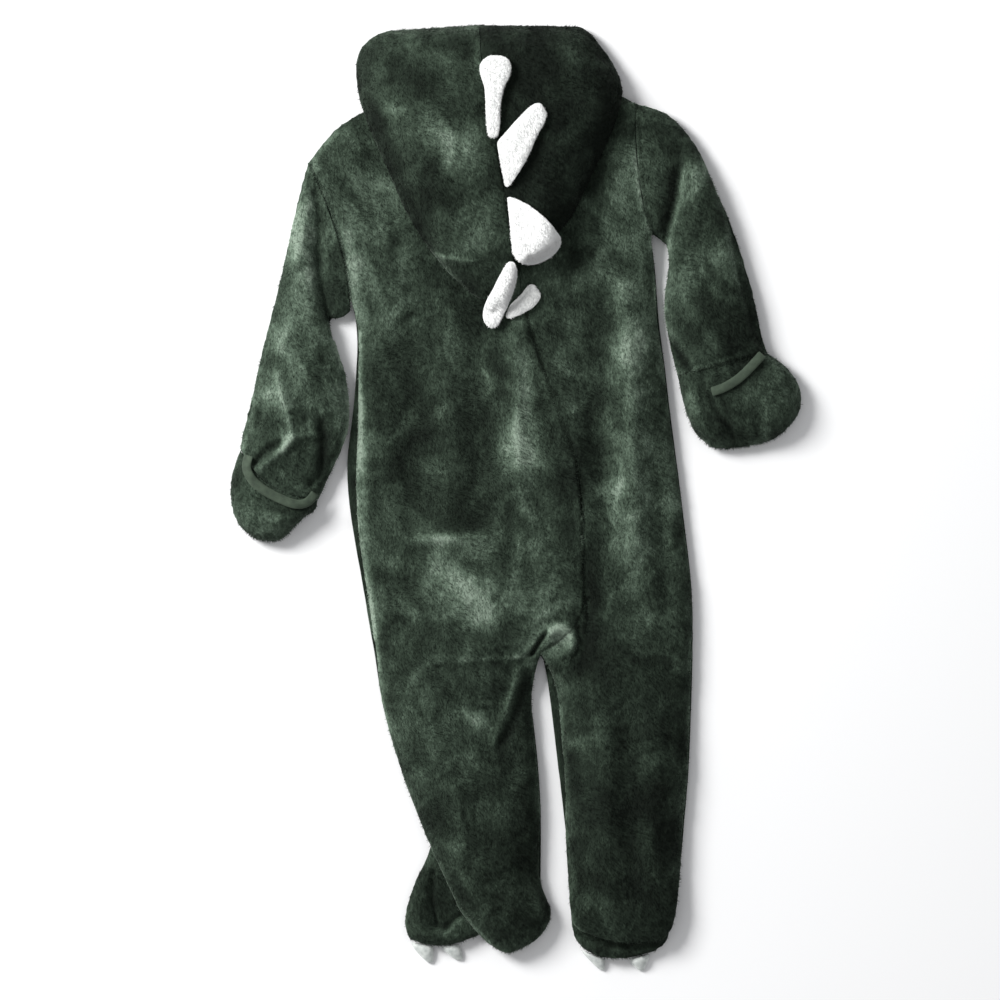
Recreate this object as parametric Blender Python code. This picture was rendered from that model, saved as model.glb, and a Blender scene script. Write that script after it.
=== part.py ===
"""A toddler's one-piece plush dinosaur costume with feet, laid flat on its front with the back up.

The hood is turned down over the back, so that its outside and its white spikes show. Both cuffs are
closed by their fold-over mittens. Each piece that a maker cuts is one solid: a thin wall that follows
the cloth, or a stuffed pad. Sections are laid across each piece, a row for each, and joined up.

Metres, +Z up, +Y from the feet to the hood. The origin is on the floor under the middle of the garment.
The tables are in millimetres.
"""

import math
from collections import namedtuple

import bmesh
import bpy
from mathutils import Vector
from mathutils.bvhtree import BVHTree

MM = 0.001

# Driving sizes
WALL = 4.0  # plush with its backing and pile
SEAM_GAP = 0.5  # between two pieces sewn edge to edge
REST_GAP = 0.4  # between a piece and what it lies on
SEAM_DIP = 2.0  # how far the plush sinks along a seam
RIM = 6.0  # height of the side seam, where the back meets the front
TUBE_RIM = 8.0  # height of the folded edge of a sleeve
ZIP_WIDTH = 9.0
BINDING_WIDTH = 9.0
BINDING_THICK = 3.0

MOST_ROUND = 0.45  # an edge rounds over at most this share of the width
PAD_ROUND = 10.0  # how wide the edge of a stuffed piece rounds over
PAD_END = 0.55  # how full a stuffed piece is at its two ends
PAD_MIDDLE = 0.45  # height of the widest line of a stuffed piece, as a share of its thickness
HOOD_ROUND = 0.8  # the hood rounds over this share of the way from its edge to its seam
OVER_CLOTH, OVER_BACK, UNDER_HOOD = 5.0, 14.0, 12.0  # how far around a point its neighbours are looked for
THINNEST = 1.0  # least thickness of a hidden layer
SKY, FAR = 200.0, 1000.0  # heights above everything

SEAM = -1.0  # in a height column: this edge is sewn to its neighbour and keeps its height

# A section across a piece: its two ends, how high each end lies, how wide its edge rounds over,
# the height of the middle, and how far the section bows towards the feet.
Section = namedtuple(
    "Section",
    "left_x left_y left_z left_round right_x right_y right_z right_round crown bow",
)
Edge = namedtuple("Edge", "x y height")

# A fold in the cloth: a straight run, its height (below 0 for a trough) and its width
Fold = namedtuple("Fold", "start_x start_y end_x end_y height width")

BODY_FOLDS = [
    Fold(0, 150, 2, -5, 5.0, 9.0),
    Fold(12, 148, 45, 70, 3.5, 7.0),
    Fold(52, 60, 62, -60, 4.0, 9.0),
    Fold(104, 140, 104, -40, 5.5, 11.0),
    Fold(-95, 140, -92, 0, -3.5, 12.0),
    Fold(-20, 150, -22, -20, -3.5, 9.0),
    Fold(62, 110, 88, -30, -3.0, 9.0),
    Fold(-88, -33, -32, -35, 3.0, 7.0),
    Fold(-75, -75, -20, -110, 4.0, 20.0),
    Fold(-2, -150, -24, -222, -5.0, 8.0),
    Fold(-60, 60, -70, -20, 3.5, 10.0),
    Fold(-130, 240, -115, 160, 3.0, 10.0),
    Fold(-90, -200, -50, -290, 3.0, 14.0),
    Fold(70, -170, 80, -290, 2.5, 16.0),
    Fold(140, -120, 140, -220, -2.5, 8.0),
]
SLEEVE_FOLDS = [
    Fold(-180, 274, -176, 226, -5.0, 7.0),
    Fold(-176, 226, -170, 165, -6.0, 8.0),
    Fold(-211, 110, -202, 56, 3.5, 7.0),
    Fold(-238, 84, -238, 56, -3.0, 4.0),
    Fold(-176, 70, -172, 30, -5.0, 5.0),
    Fold(-208, 47, -231, 28, 4.0, 9.0),
    Fold(140, 296, 138, 240, -4.5, 9.0),
    Fold(188, 250, 210, 165, -3.0, 7.0),
    Fold(137, 149, 159, 116, -3.0, 5.0),
    Fold(160, 200, 180, 130, 3.0, 12.0),
    Fold(177, 91, 198, 55, -4.5, 6.0),
]
HOOD_FOLDS = [
    Fold(-75, 220, -48, 214, 2.5, 6.0),
    Fold(-60, 300, -40, 250, -2.0, 12.0),
]

# The centre back seam, which wanders to the right leg because the back lies twisted
CENTRE_SEAM = [
    (-12, 356), (-12, 338), (-9, 315), (-6, 288), (-3, 257), (2, 221), (6, 183), (14, 153),
    (27, 113), (41, 72), (56, 32), (60, -18), (61, -65), (62, -95), (50, -119), (23, -137),
]

# The armhole seams, from the shoulder to the underarm on the left and the other way on the right
LEFT_SHOULDER, LEFT_UNDERARM, LEFT_ARM_BOW = (-186, 302), (-148, 182), -6.0
RIGHT_UNDERARM, RIGHT_SHOULDER, RIGHT_ARM_BOW = (122, 239), (109, 356), -5.0

# Side edges of the back where they aren't sewn to a sleeve
LEFT_NECK = [Edge(-137, 349, RIM), Edge(-163, 332, RIM)]
LEFT_SIDE = [
    Edge(-141, 153, RIM), Edge(-141, 113, RIM), Edge(-141, 72, RIM), Edge(-143, 32, RIM),
    Edge(-142, -18, RIM), Edge(-136, -65, RIM), Edge(-131, -95, RIM), Edge(-128, -119, RIM),
    Edge(-124, -140, RIM),
]
RIGHT_NECK = [Edge(94, 364, RIM), Edge(102, 360, RIM)]
RIGHT_SIDE = [
    Edge(126, 203, RIM), Edge(128, 158, RIM), Edge(134, 122, RIM), Edge(138, 81, RIM),
    Edge(146, 25, RIM), Edge(152, -27, RIM), Edge(158, -72, RIM), Edge(159, -106, RIM),
    Edge(159, -140, RIM),
]

TORSO_CROWN, TORSO_ROUND, SEAM_ROUND = 15.0, 26.0, 9.0
NECK_SLOPE = 2.0  # the back thins at the neck by this much a section
SEAT_Y, SEAT_RISE = -50.0, 5.0  # below this the cloth is fuller, by this much at the crotch

# Legs of the back, from the crotch to the hem
LEFT_LEG = [
    Section(-122, -171, RIM, 34, 15, -171, RIM, 30, 21, 0),
    Section(-113, -209, RIM, 36, 17, -209, RIM, 34, 23, 0),
    Section(-101, -248, RIM, 36, 21, -248, RIM, 36, 24, 0),
    Section(-85, -290, RIM, 36, 23, -290, RIM, 36, 25, 0),
    Section(-71, -323, 13, 34, 21, -331, RIM, 34, 25, 0),
    Section(-61, -344, 13, 30, 26, -353, RIM, 32, 25, 0),
    Section(-50, -368, 13, 28, 33, -369, RIM, 28, 24, 0),
    Section(-38, -384, 13, 22, 29, -384, RIM, 22, 21, 0),
    Section(-26, -397, 11, 14, 17, -397, 11, 14, 17, 2),
    Section(-16, -404, 8, 7, 3, -404, 8, 7, 12, 3),
]
RIGHT_LEG = [
    Section(37, -167, RIM, 30, 158, -171, RIM, 34, 21, 0),
    Section(41, -209, RIM, 34, 157, -209, RIM, 36, 23, 0),
    Section(45, -252, RIM, 36, 155, -252, RIM, 36, 24, 0),
    Section(45, -293, RIM, 36, 151, -293, RIM, 36, 24, 0),
    Section(47, -331, RIM, 34, 149, -331, RIM, 34, 24, 0),
    Section(49, -360, 13, 30, 146, -360, 13, 30, 23, 0),
    Section(51, -378, 13, 24, 142, -383, 13, 24, 20, 4),
    Section(57, -386, 13, 20, 134, -394, 13, 20, 17, 7),
]

# Left edge of the front, which shows past the back along the waist, and its inner edges
FRONT_LEFT_SIDE = [
    (-141, 153), (-143, 113), (-146, 72), (-153, 33), (-148, -18), (-139, -65), (-134, -95),
    (-130, -119), (-126, -140),
]
FRONT_LEFT_LEG = [
    Section(-122, -171, RIM, 20, 13, -171, RIM, 20, 0, 0),
    Section(-113, -209, RIM, 20, 18, -209, RIM, 20, 0, 0),
    Section(-101, -248, RIM, 20, 22, -248, RIM, 20, 0, 0),
    Section(-85, -290, RIM, 20, 24, -290, RIM, 20, 0, 0),
    Section(-76, -311, RIM, 20, 23, -346, RIM, 20, 0, 0),
]
FRONT_RIGHT_LEG = [
    Section(30, -167, RIM, 20, 159, -171, RIM, 20, 0, 0),
    Section(35, -209, RIM, 20, 158, -209, RIM, 20, 0, 0),
    Section(40, -252, RIM, 20, 156, -252, RIM, 20, 0, 0),
    Section(45, -293, RIM, 20, 152, -293, RIM, 20, 0, 0),
    Section(50, -353, RIM, 20, 147, -353, RIM, 20, 0, 0),
]
ZIP_X, ZIP_TOP, ZIP_BOTTOM = -9.0, 340.0, -96.0

LEFT_SLEEVE = [
    Section(*LEFT_SHOULDER, TUBE_RIM, 14, *LEFT_UNDERARM, TUBE_RIM, 14, 15, LEFT_ARM_BOW),
    Section(-192, 281, TUBE_RIM, 18, -157, 177, TUBE_RIM, 16, 17, -3),
    Section(-199, 252, TUBE_RIM, 20, -165, 169, TUBE_RIM, 16, 18, 0),
    Section(-206, 220, TUBE_RIM, 22, -166, 158, TUBE_RIM, 16, 20, 0),
    Section(-213, 190, TUBE_RIM, 24, -163, 145, TUBE_RIM, 20, 21, 0),
    Section(-221, 158, TUBE_RIM, 26, -157, 128, TUBE_RIM, 24, 22, 0),
    Section(-229, 128, TUBE_RIM, 28, -151, 107, TUBE_RIM, 26, 23, 0),
    Section(-235, 98, TUBE_RIM, 28, -149, 87, TUBE_RIM, 26, 23, 0),
    Section(-242, 70, TUBE_RIM, 26, -150, 60, TUBE_RIM, 24, 22, 0),
    Section(-246, 54, TUBE_RIM, 24, -162, 32, TUBE_RIM, 22, 21, 5),
    Section(-247, 45, TUBE_RIM, 22, -177, 0, TUBE_RIM, 20, 19, 12),
]
LEFT_MITTEN = [
    Section(-247, 45, TUBE_RIM, 22, -177, 0, TUBE_RIM, 20, 19, 12),
    Section(-256, 17, TUBE_RIM, 22, -180, -10, TUBE_RIM, 20, 24, 10),
    Section(-254, -10, TUBE_RIM, 22, -190, -17, TUBE_RIM, 20, 23, 6),
    Section(-245, -27, TUBE_RIM, 18, -200, -27, TUBE_RIM, 18, 19, 3),
    Section(-234, -35, TUBE_RIM, 8, -208, -35, TUBE_RIM, 8, 11, 2),
]
RIGHT_SLEEVE = [
    Section(*RIGHT_UNDERARM, TUBE_RIM, 14, *RIGHT_SHOULDER, TUBE_RIM, 14, 15, RIGHT_ARM_BOW),
    Section(131, 234, TUBE_RIM, 16, 134, 349, TUBE_RIM, 18, 17, -2),
    Section(136, 227, TUBE_RIM, 16, 152, 333, TUBE_RIM, 20, 18, 0),
    Section(138, 217, TUBE_RIM, 18, 167, 311, TUBE_RIM, 22, 20, 0),
    Section(137, 205, TUBE_RIM, 20, 179, 283, TUBE_RIM, 24, 21, 0),
    Section(135, 188, TUBE_RIM, 22, 194, 248, TUBE_RIM, 26, 22, 0),
    Section(134, 169, TUBE_RIM, 24, 206, 213, TUBE_RIM, 26, 23, 0),
    Section(137, 150, TUBE_RIM, 24, 216, 177, TUBE_RIM, 26, 23, 0),
    Section(141, 131, TUBE_RIM, 24, 222, 146, TUBE_RIM, 26, 22, 0),
    Section(146, 112, TUBE_RIM, 24, 227, 132, TUBE_RIM, 24, 21, 0),
]
RIGHT_MITTEN = [
    Section(146, 112, TUBE_RIM, 24, 227, 132, TUBE_RIM, 24, 21, 0),
    Section(150, 92, TUBE_RIM, 20, 248, 116, TUBE_RIM, 24, 23, 0),
    Section(156, 72, TUBE_RIM, 20, 258, 94, TUBE_RIM, 24, 24, 0),
    Section(165, 55, TUBE_RIM, 18, 252, 70, TUBE_RIM, 22, 21, 2),
    Section(179, 46, TUBE_RIM, 8, 232, 54, TUBE_RIM, 8, 11, 2),
]

# Foot uppers, from the ankle seam under the hem to the toes; the soles lie under them
LEFT_FOOT = [
    Section(-76, -311, RIM, 12, 13, -342.2, RIM, 12, 10.5, 0),
    Section(-80, -324, RIM, 12, 6, -368, RIM, 12, 10.5, 0),
    Section(-88, -338, RIM, 12, -32, -391, RIM, 12, 11, 0),
    Section(-95, -358, RIM, 16, -54, -399, RIM, 14, 15, 0),
    Section(-99, -374, RIM, 16, -72, -401, RIM, 14, 15, 0),
    Section(-98, -389, RIM, 6, -89, -397, RIM, 6, 11, 1),
]
RIGHT_FOOT = [
    Section(51, -353, RIM, 12, 145, -353, RIM, 12, 10.5, 0),
    Section(50, -374, RIM, 12, 141, -374, RIM, 12, 10.5, 0),
    Section(53, -392, RIM, 14, 137, -396, RIM, 14, 11.5, 0),
    Section(61, -403, RIM, 12, 124, -406, RIM, 12, 12.5, 1),
    Section(76, -411, RIM, 6, 106, -411, RIM, 6, 10.5, 1),
]
TOE_FOLDS = [
    Fold(-75, -352, -75, -364, -2.5, 4.0),
    Fold(-75, -364, -70, -382, -2.5, 4.0),
    Fold(-70, -382, -54, -374, -2.5, 4.0),
]

# The hood's centre seam, from the face opening at the top to the tip
HOOD_SEAM = [
    (-32, 427), (-32, 422), (-31, 413), (-31, 401), (-27, 377), (-23, 348), (-18, 321), (-12, 288),
    (-6, 252), (-1, 216), (-6, 193), (-15, 178),
]
HOOD_CROWN = [9, 20, 29, 35, 41, 43, 44, 43, 41, 36, 30, 24]
HOOD_LEFT_EDGE = [
    Edge(-114, 422, 6), Edge(-127, 417, 7), Edge(-137, 408, 8), Edge(-143, 394, 8),
    Edge(-142, 371, 9), Edge(-136, 347, 14), Edge(-124, 318, 16), Edge(-110, 286, 16),
    Edge(-95, 252, 16), Edge(-74, 221, 16), Edge(-56, 200, 16), Edge(-33, 180, 16),
]
HOOD_RIGHT_EDGE = [
    Edge(58, 426, 6), Edge(68, 420, 7), Edge(75, 411, 8), Edge(84, 399, 8),
    Edge(96, 376, 11), Edge(95, 354, 15), Edge(84, 323, 16), Edge(66, 286, 16),
    Edge(50, 252, 16), Edge(22, 223, 16),
]

# Stuffed spikes along the hood's seam: a section each from the seam out to the tip
Leaf = namedtuple("Leaf", "left_x left_y right_x right_y thick")
SPIKES = {
    "spike_1": [
        Leaf(-22.5, 324, -17.5, 324, 4), Leaf(-24.5, 327, -15, 327, 6), Leaf(-25.5, 334, -13.5, 334, 7),
        Leaf(-26.5, 351, -13, 351, 8), Leaf(-27.5, 367, -10, 367.5, 8.5), Leaf(-30.5, 376, -5, 376.5, 9),
        Leaf(-32.5, 384, -3, 384.5, 9.5), Leaf(-31, 391.5, -4, 392, 8), Leaf(-25.5, 396, -9, 396, 6),
        Leaf(-21.5, 397, -14, 397, 4),
    ],
    "spike_2": [
        Leaf(-15, 319.5, -7.5, 279.5, 5), Leaf(-11, 324.5, -3, 284.5, 7), Leaf(-3, 333.5, 5, 296.5, 8.5),
        Leaf(6, 343.5, 13, 312, 8.5), Leaf(12.5, 350, 19, 326, 8), Leaf(18, 353.5, 25, 336, 7),
        Leaf(22, 353.5, 27, 345, 4.5),
    ],
    "spike_3": [
        Leaf(-7, 271.5, -2, 219.5, 5), Leaf(-2.5, 271, 3, 213, 8), Leaf(9, 266, 13.5, 209.5, 9.5),
        Leaf(20.5, 258, 24, 212.5, 10), Leaf(30.5, 249, 33, 217.5, 9), Leaf(37.5, 240, 39, 224.5, 6.5),
        Leaf(40.5, 235.5, 41, 230, 4),
    ],
    "spike_4": [
        Leaf(-5.5, 213, -1, 212.5, 4), Leaf(-9.5, 208.5, 2, 206, 6), Leaf(-15, 199.5, 1.5, 195, 8),
        Leaf(-22, 186, -3, 181, 9), Leaf(-27.5, 176, -8, 169.5, 10), Leaf(-29.5, 166.5, -12, 161.5, 9),
        Leaf(-27.5, 159, -15, 157, 7), Leaf(-23, 155.5, -18.5, 154.5, 4),
    ],
    "spike_5": [
        Leaf(-3, 175, -7.5, 163.5, 4), Leaf(2, 179.5, -0.5, 165, 6), Leaf(7, 184.5, 7, 168.5, 7),
        Leaf(9.5, 188.5, 15, 173, 7), Leaf(11.5, 191, 20, 178, 6), Leaf(13.5, 192.5, 22, 183, 5),
        Leaf(16, 192, 20, 187, 3.5),
    ],
}

# Toe claws: the base along the seam of the toe, then the tip
CLAWS = {
    "claw_left_1": [
        Leaf(-94, -397.5, -74, -401.3, 8), Leaf(-89, -406, -73, -407, 7), Leaf(-79, -416, -74, -416, 3),
    ],
    "claw_left_2": [
        Leaf(-67, -401.2, -51, -399.5, 8), Leaf(-62, -407, -48, -406, 7), Leaf(-53, -414, -47, -413, 3),
    ],
    "claw_right_1": [
        Leaf(59, -404.2, 80, -412.6, 8), Leaf(64, -411, 81, -417, 7), Leaf(75, -422, 80, -423, 3),
    ],
    "claw_right_2": [
        Leaf(103, -412.6, 121, -408.2, 8), Leaf(105, -417, 120, -414, 7), Leaf(111, -423, 116, -423, 3),
    ],
}

# Middle lines of the bindings on the mittens
LEFT_BINDING = [
    (-239, 40), (-241, 28), (-234, 16), (-222, 7), (-208, 0), (-196, -4), (-186, -2), (-179, 6),
]
RIGHT_BINDING = [(176, 97), (188, 101), (202, 110), (213, 121), (222, 131)]

# Hidden layers inside the hood, which fill it to within room of its underside
Layer = namedtuple("Layer", "left_x left_y right_x right_y room")
HOOD_INNER = [
    Layer(-118, 340, 78, 346, 1.1), Layer(-110, 315, 71, 318, 1.1), Layer(-96, 282, 56, 286, 1.1),
    Layer(-80, 250, 40, 252, 1.1), Layer(-58, 222, 14, 226, 1.1), Layer(-38, 202, -12, 206, 1.1),
]
NECK_ROLL = [
    Layer(-104, 409, 50, 414, 0.4), Layer(-122, 402, 66, 405, 0.4), Layer(-129, 388, 76, 392, 0.4),
    Layer(-129, 372, 82, 378, 0.4), Layer(-124, 362, 82, 369, 0.4),
]

SURFACES = []  # height fields of the pieces made so far, for what lies on them


def bowed(start, end, bow, share):
    """A point on a section from start to end that bows to its right-hand side."""
    start, end = Vector(start), Vector(end)
    along = (end - start).normalized()
    aside = Vector((along.y, -along.x))
    return start.lerp(end, share) + aside * bow * 4 * share * (1 - share)


def fold_height(folds, x, y):
    """How far the folds raise or lower the cloth at a point."""
    total = 0.0
    for fold in folds:
        start = Vector((fold.start_x, fold.start_y))
        run = Vector((fold.end_x, fold.end_y)) - start
        share = max(0.0, min(1.0, (Vector((x, y)) - start).dot(run) / run.length_squared))
        away = (Vector((x, y)) - start - run * share).length
        total += fold.height * math.exp(-((away / fold.width) ** 2))
    return total


def between(before, first, second, after, share):
    """Smooth values from one row to the next; a row missing on one side makes a corner there."""
    values = []
    for k, (a, b) in enumerate(zip(first, second)):
        leave = (b - before[k]) / 2 if before else b - a
        arrive = (after[k] - a) / 2 if after else b - a
        square, cube = share**2, share**3
        values.append(
            (2 * cube - 3 * square + 1) * a
            + (cube - 2 * square + share) * leave
            + (3 * square - 2 * cube) * b
            + (cube - square) * arrive
        )
    return values


def smooth_rows(rows, steps, corners=()):
    """The rows of a table with smooth stages between them."""
    stages = []
    for k in range(len(rows) - 1):
        before = rows[k - 1] if k and k not in corners else None
        after = rows[k + 2] if k + 2 < len(rows) and k + 1 not in corners else None
        for step in range(steps):
            stages.append(between(before, rows[k], rows[k + 1], after, step / steps))
    stages.append(list(rows[-1]))
    return stages


def sections_of(rows, steps, corners=()):
    """Smooth sections, each with a share from 0, sewn, to 1, folded over, for its two edges."""
    numbers = []
    for row in rows:
        folded = [0.0 if height == SEAM else 1.0 for height in (row.left_z, row.right_z)]
        plain = row._replace(
            left_z=RIM if row.left_z == SEAM else row.left_z,
            right_z=RIM if row.right_z == SEAM else row.right_z,
        )
        numbers.append(list(plain) + folded)
    stages = []
    for values in smooth_rows(numbers, steps, corners):
        row = Section(*values[:10])
        row = row._replace(left_z=max(row.left_z, RIM), right_z=max(row.right_z, RIM))
        stages.append((row, min(1, max(0, values[10])), min(1, max(0, values[11]))))
    return draw_in(stages)


def draw_in(stages):
    """Pulls every edge in by half a seam gap, so that neighbours don't touch."""
    pulled = []
    for k, (row, left_fold, right_fold) in enumerate(stages):
        left, right = Vector((row.left_x, row.left_y)), Vector((row.right_x, row.right_y))
        along = (right - left).normalized() * SEAM_GAP / 2
        ahead = Vector((0.0, 0.0))
        if k in (0, len(stages) - 1):
            other = stages[1][0] if k == 0 else stages[-2][0]
            middle = Vector((other.left_x + other.right_x, other.left_y + other.right_y)) / 2
            ahead = (middle - (left + right) / 2).normalized() * SEAM_GAP / 2
        left, right = left + along + ahead, right - along + ahead
        row = row._replace(left_x=left.x, left_y=left.y, right_x=right.x, right_y=right.y)
        pulled.append((row, left_fold, right_fold))
    return pulled


EDGE_TURNS = [1 - math.cos(math.radians(angle)) for angle in (0, 42, 90)]


def across(stage, columns, inset):
    """Points across a section: place, and how far each has risen from the left and the right edge."""
    row, left_fold, right_fold = stage
    start, end = (row.left_x, row.left_y), (row.right_x, row.right_y)
    width = math.dist(start, end)
    left_round = min(row.left_round, MOST_ROUND * width)
    right_round = min(row.right_round, MOST_ROUND * width)
    spots = []
    for turn in EDGE_TURNS:
        spots.append((left_round * turn + inset * left_fold * (1 - turn), turn, 1.0))
    flat = width - left_round - right_round
    for k in range(1, columns):
        spots.append((left_round + flat * k / columns, 1.0, 1.0))
    for turn in reversed(EDGE_TURNS):
        spots.append((width - right_round * turn - inset * right_fold * (1 - turn), 1.0, turn))
    points = []
    for distance, left_turn, right_turn in spots:
        place = bowed(start, end, row.bow, distance / width)
        left_rise = math.sqrt(1 - (1 - left_turn) ** 2) ** (2 - left_fold)
        right_rise = math.sqrt(1 - (1 - right_turn) ** 2) ** (2 - right_fold)
        points.append((place.x, place.y, left_rise, right_rise))
    return points


def top_points(stage, columns, folds, depth):
    """The upper cloth of a section, depth millimetres under its outside."""
    row, left_fold, right_fold = stage
    points = []
    for x, y, left_rise, right_rise in across(stage, columns, depth):
        full = row.crown + fold_height(folds, x, y) - depth
        left_edge = left_fold * row.left_z + (1 - left_fold) * (full - SEAM_DIP)
        right_edge = right_fold * row.right_z + (1 - right_fold) * (full - SEAM_DIP)
        z = left_edge + (full - left_edge) * left_rise
        z = right_edge + (z - right_edge) * right_rise
        points.append((x, y, z))
    return points


def under_points(stage, columns, depth, rim_drop):
    """The lower cloth of a section, which lies on the floor and turns up at folded edges."""
    row, left_fold, right_fold = stage
    points = []
    for x, y, left_rise, right_rise in across(stage, columns, depth):
        left = left_fold * (row.left_z - rim_drop - depth) * (1 - left_rise)
        right = right_fold * (row.right_z - rim_drop - depth) * (1 - right_rise)
        points.append((x, y, depth + max(left, right)))
    return points


def skin(mesh, loops, closed=True):
    """Faces between each loop of points and the next."""
    for first, second in zip(loops, loops[1:]):
        count = len(first) if closed else len(first) - 1
        for k in range(count):
            after = (k + 1) % len(first)
            mesh.faces.new((first[k], first[after], second[after], second[k]))


def strip(mesh, upper, lower):
    """A strip of faces that closes the end of a piece between its upper and lower points."""
    for k in range(len(upper) - 1):
        corners = []
        for corner in (upper[k], upper[k + 1], lower[k + 1], lower[k]):
            if corner not in corners:
                corners.append(corner)
        mesh.faces.new(corners)


def points_to_verts(mesh, points):
    return [mesh.verts.new(Vector(point) * MM) for point in points]


def finish_piece(name, mesh, material, lies_on_top=True):
    """Turns a bmesh into an object with its material, and notes its upper side for what lies on it."""
    bmesh.ops.recalc_face_normals(mesh, faces=mesh.faces)
    data = bpy.data.meshes.new(name)
    mesh.to_mesh(data)
    data.shade_smooth()
    data.set_sharp_from_angle(angle=math.radians(50))
    data.materials.append(material)
    piece = bpy.data.objects.new(name, data)
    bpy.context.scene.collection.objects.link(piece)
    if lies_on_top:
        SURFACES.append(BVHTree.FromBMesh(mesh))
    mesh.free()
    return piece


def wall_piece(name, stages, columns, outside, inside, material):
    """A thin wall: its outer and inner cloth, closed round the rim."""
    mesh = bmesh.new()
    outer = [points_to_verts(mesh, outside(stage, columns)) for stage in stages]
    inner = [points_to_verts(mesh, inside(stage, columns)) for stage in stages]
    loops = [upper + lower[::-1] for upper, lower in zip(outer, inner)]
    skin(mesh, loops)
    strip(mesh, outer[0], inner[0])
    strip(mesh, outer[-1], inner[-1])
    return finish_piece(name, mesh, material)


def top_wall(name, stages, columns, folds, material):
    return wall_piece(
        name, stages, columns,
        lambda stage, count: top_points(stage, count, folds, 0.0),
        lambda stage, count: top_points(stage, count, folds, WALL),
        material,
    )


def under_wall(name, stages, columns, material):
    return wall_piece(
        name, stages, columns,
        lambda stage, count: under_points(stage, count, 0.0, REST_GAP),
        lambda stage, count: under_points(stage, count, WALL, REST_GAP),
        material,
    )


def ring(mesh, stage, columns, folds, depth):
    """One closed ring of a flattened tube, as its upper and lower points."""
    upper = top_points(stage, columns, folds, depth)
    lower = under_points(stage, columns, depth, 0.0)
    upper_verts = points_to_verts(mesh, upper)
    lower_verts = [upper_verts[0]] + points_to_verts(mesh, lower[1:-1]) + [upper_verts[-1]]
    return upper_verts, lower_verts


def tube(name, stages, columns, folds, material, closed_end=False):
    """A flattened sleeve, open at both ends, or a mitten that is closed at its far end."""
    mesh = bmesh.new()
    outer = [ring(mesh, stage, columns, folds, 0.0) for stage in stages]
    inner_stages = stages[:-1] if closed_end else stages
    inner = [ring(mesh, stage, columns, folds, WALL) for stage in inner_stages]
    for rings in (outer, inner):
        skin(mesh, [upper + lower[-2:0:-1] for upper, lower in rings])
    ends = [(outer[0], inner[0])]
    if not closed_end:
        ends.append((outer[-1], inner[-1]))
    for (outer_up, outer_low), (inner_up, inner_low) in ends:
        skin(mesh, [outer_up + outer_low[-2:0:-1], inner_up + inner_low[-2:0:-1]])
    if closed_end:
        strip(mesh, *outer[-1])
        strip(mesh, *inner[-1])
    return finish_piece(name, mesh, material)


def height_below(x, y, reach):
    """The highest made surface within reach of a point, seen from above."""
    highest = 0.0
    for step_x in (-reach, 0.0, reach):
        for step_y in (-reach, 0.0, reach):
            start = Vector((x + step_x, y + step_y, SKY)) * MM
            for tree in SURFACES:
                hit = tree.ray_cast(start, Vector((0.0, 0.0, -1.0)))[0]
                if hit:
                    highest = max(highest, hit.z / MM)
    return highest


def height_above(trees, x, y, start_z, reach):
    """The lowest underside over a point, seen from just above start_z."""
    lowest = FAR
    for step_x in (-reach, 0.0, reach):
        for step_y in (-reach, 0.0, reach):
            start = Vector((x + step_x, y + step_y, start_z)) * MM
            for tree in trees:
                hit = tree.ray_cast(start, Vector((0.0, 0.0, 1.0)))[0]
                if hit:
                    lowest = min(lowest, hit.z / MM)
    return lowest


PAD_TURNS = [1 - math.cos(math.radians(angle)) for angle in (0, 50, 90)]


def pad_points(leaf, ends, columns):
    """Points across a stuffed piece, with how full it is at each."""
    start, end = (leaf.left_x, leaf.left_y), (leaf.right_x, leaf.right_y)
    width = math.dist(start, end)
    rounding = min(PAD_ROUND, MOST_ROUND * width)
    spots = [(rounding * turn, turn) for turn in PAD_TURNS]
    for k in range(1, columns):
        spots.append((rounding + (width - 2 * rounding) * k / columns, 1.0))
    spots += [(width - rounding * turn, turn) for turn in reversed(PAD_TURNS)]
    points = []
    for distance, turn in spots:
        place = bowed(start, end, 0.0, distance / width)
        points.append((place.x, place.y, math.sqrt(1 - (1 - turn) ** 2) * ends))
    return points


def pad(name, leaves, columns, bottom, top, material, steps=2):
    """A stuffed piece: bottom and top give its lowest and highest point over a place."""
    mesh = bmesh.new()
    rows = [type(leaves[0])(*values) for values in smooth_rows(leaves, steps)]
    uppers, lowers = [], []
    for k, leaf in enumerate(rows):
        ends = PAD_END if k in (0, len(rows) - 1) else 1.0
        upper, lower = [], []
        for x, y, fullness in pad_points(leaf, ends, columns):
            low = bottom(x, y)
            high = top(x, y, leaf, low)
            middle = low + (high - low) * PAD_MIDDLE
            upper.append((x, y, middle + (high - middle) * fullness))
            lower.append((x, y, middle - (middle - low) * fullness))
        upper_verts = points_to_verts(mesh, upper)
        lower_verts = [upper_verts[0]] + points_to_verts(mesh, lower[1:-1]) + [upper_verts[-1]]
        uppers.append(upper_verts)
        lowers.append(lower_verts)
    skin(mesh, [up + low[-2:0:-1] for up, low in zip(uppers, lowers)])
    strip(mesh, uppers[0], lowers[0])
    strip(mesh, uppers[-1], lowers[-1])
    return finish_piece(name, mesh, material)


def make_material(name, colour, roughness, metallic=0.0):
    material = bpy.data.materials.new(name)
    material.use_nodes = True
    shader = material.node_tree.nodes["Principled BSDF"]
    shader.inputs["Base Color"].default_value = (*colour, 1.0)
    shader.inputs["Roughness"].default_value = roughness
    shader.inputs["Metallic"].default_value = metallic
    material.diffuse_color = (*colour, 1.0)
    return material


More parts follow.
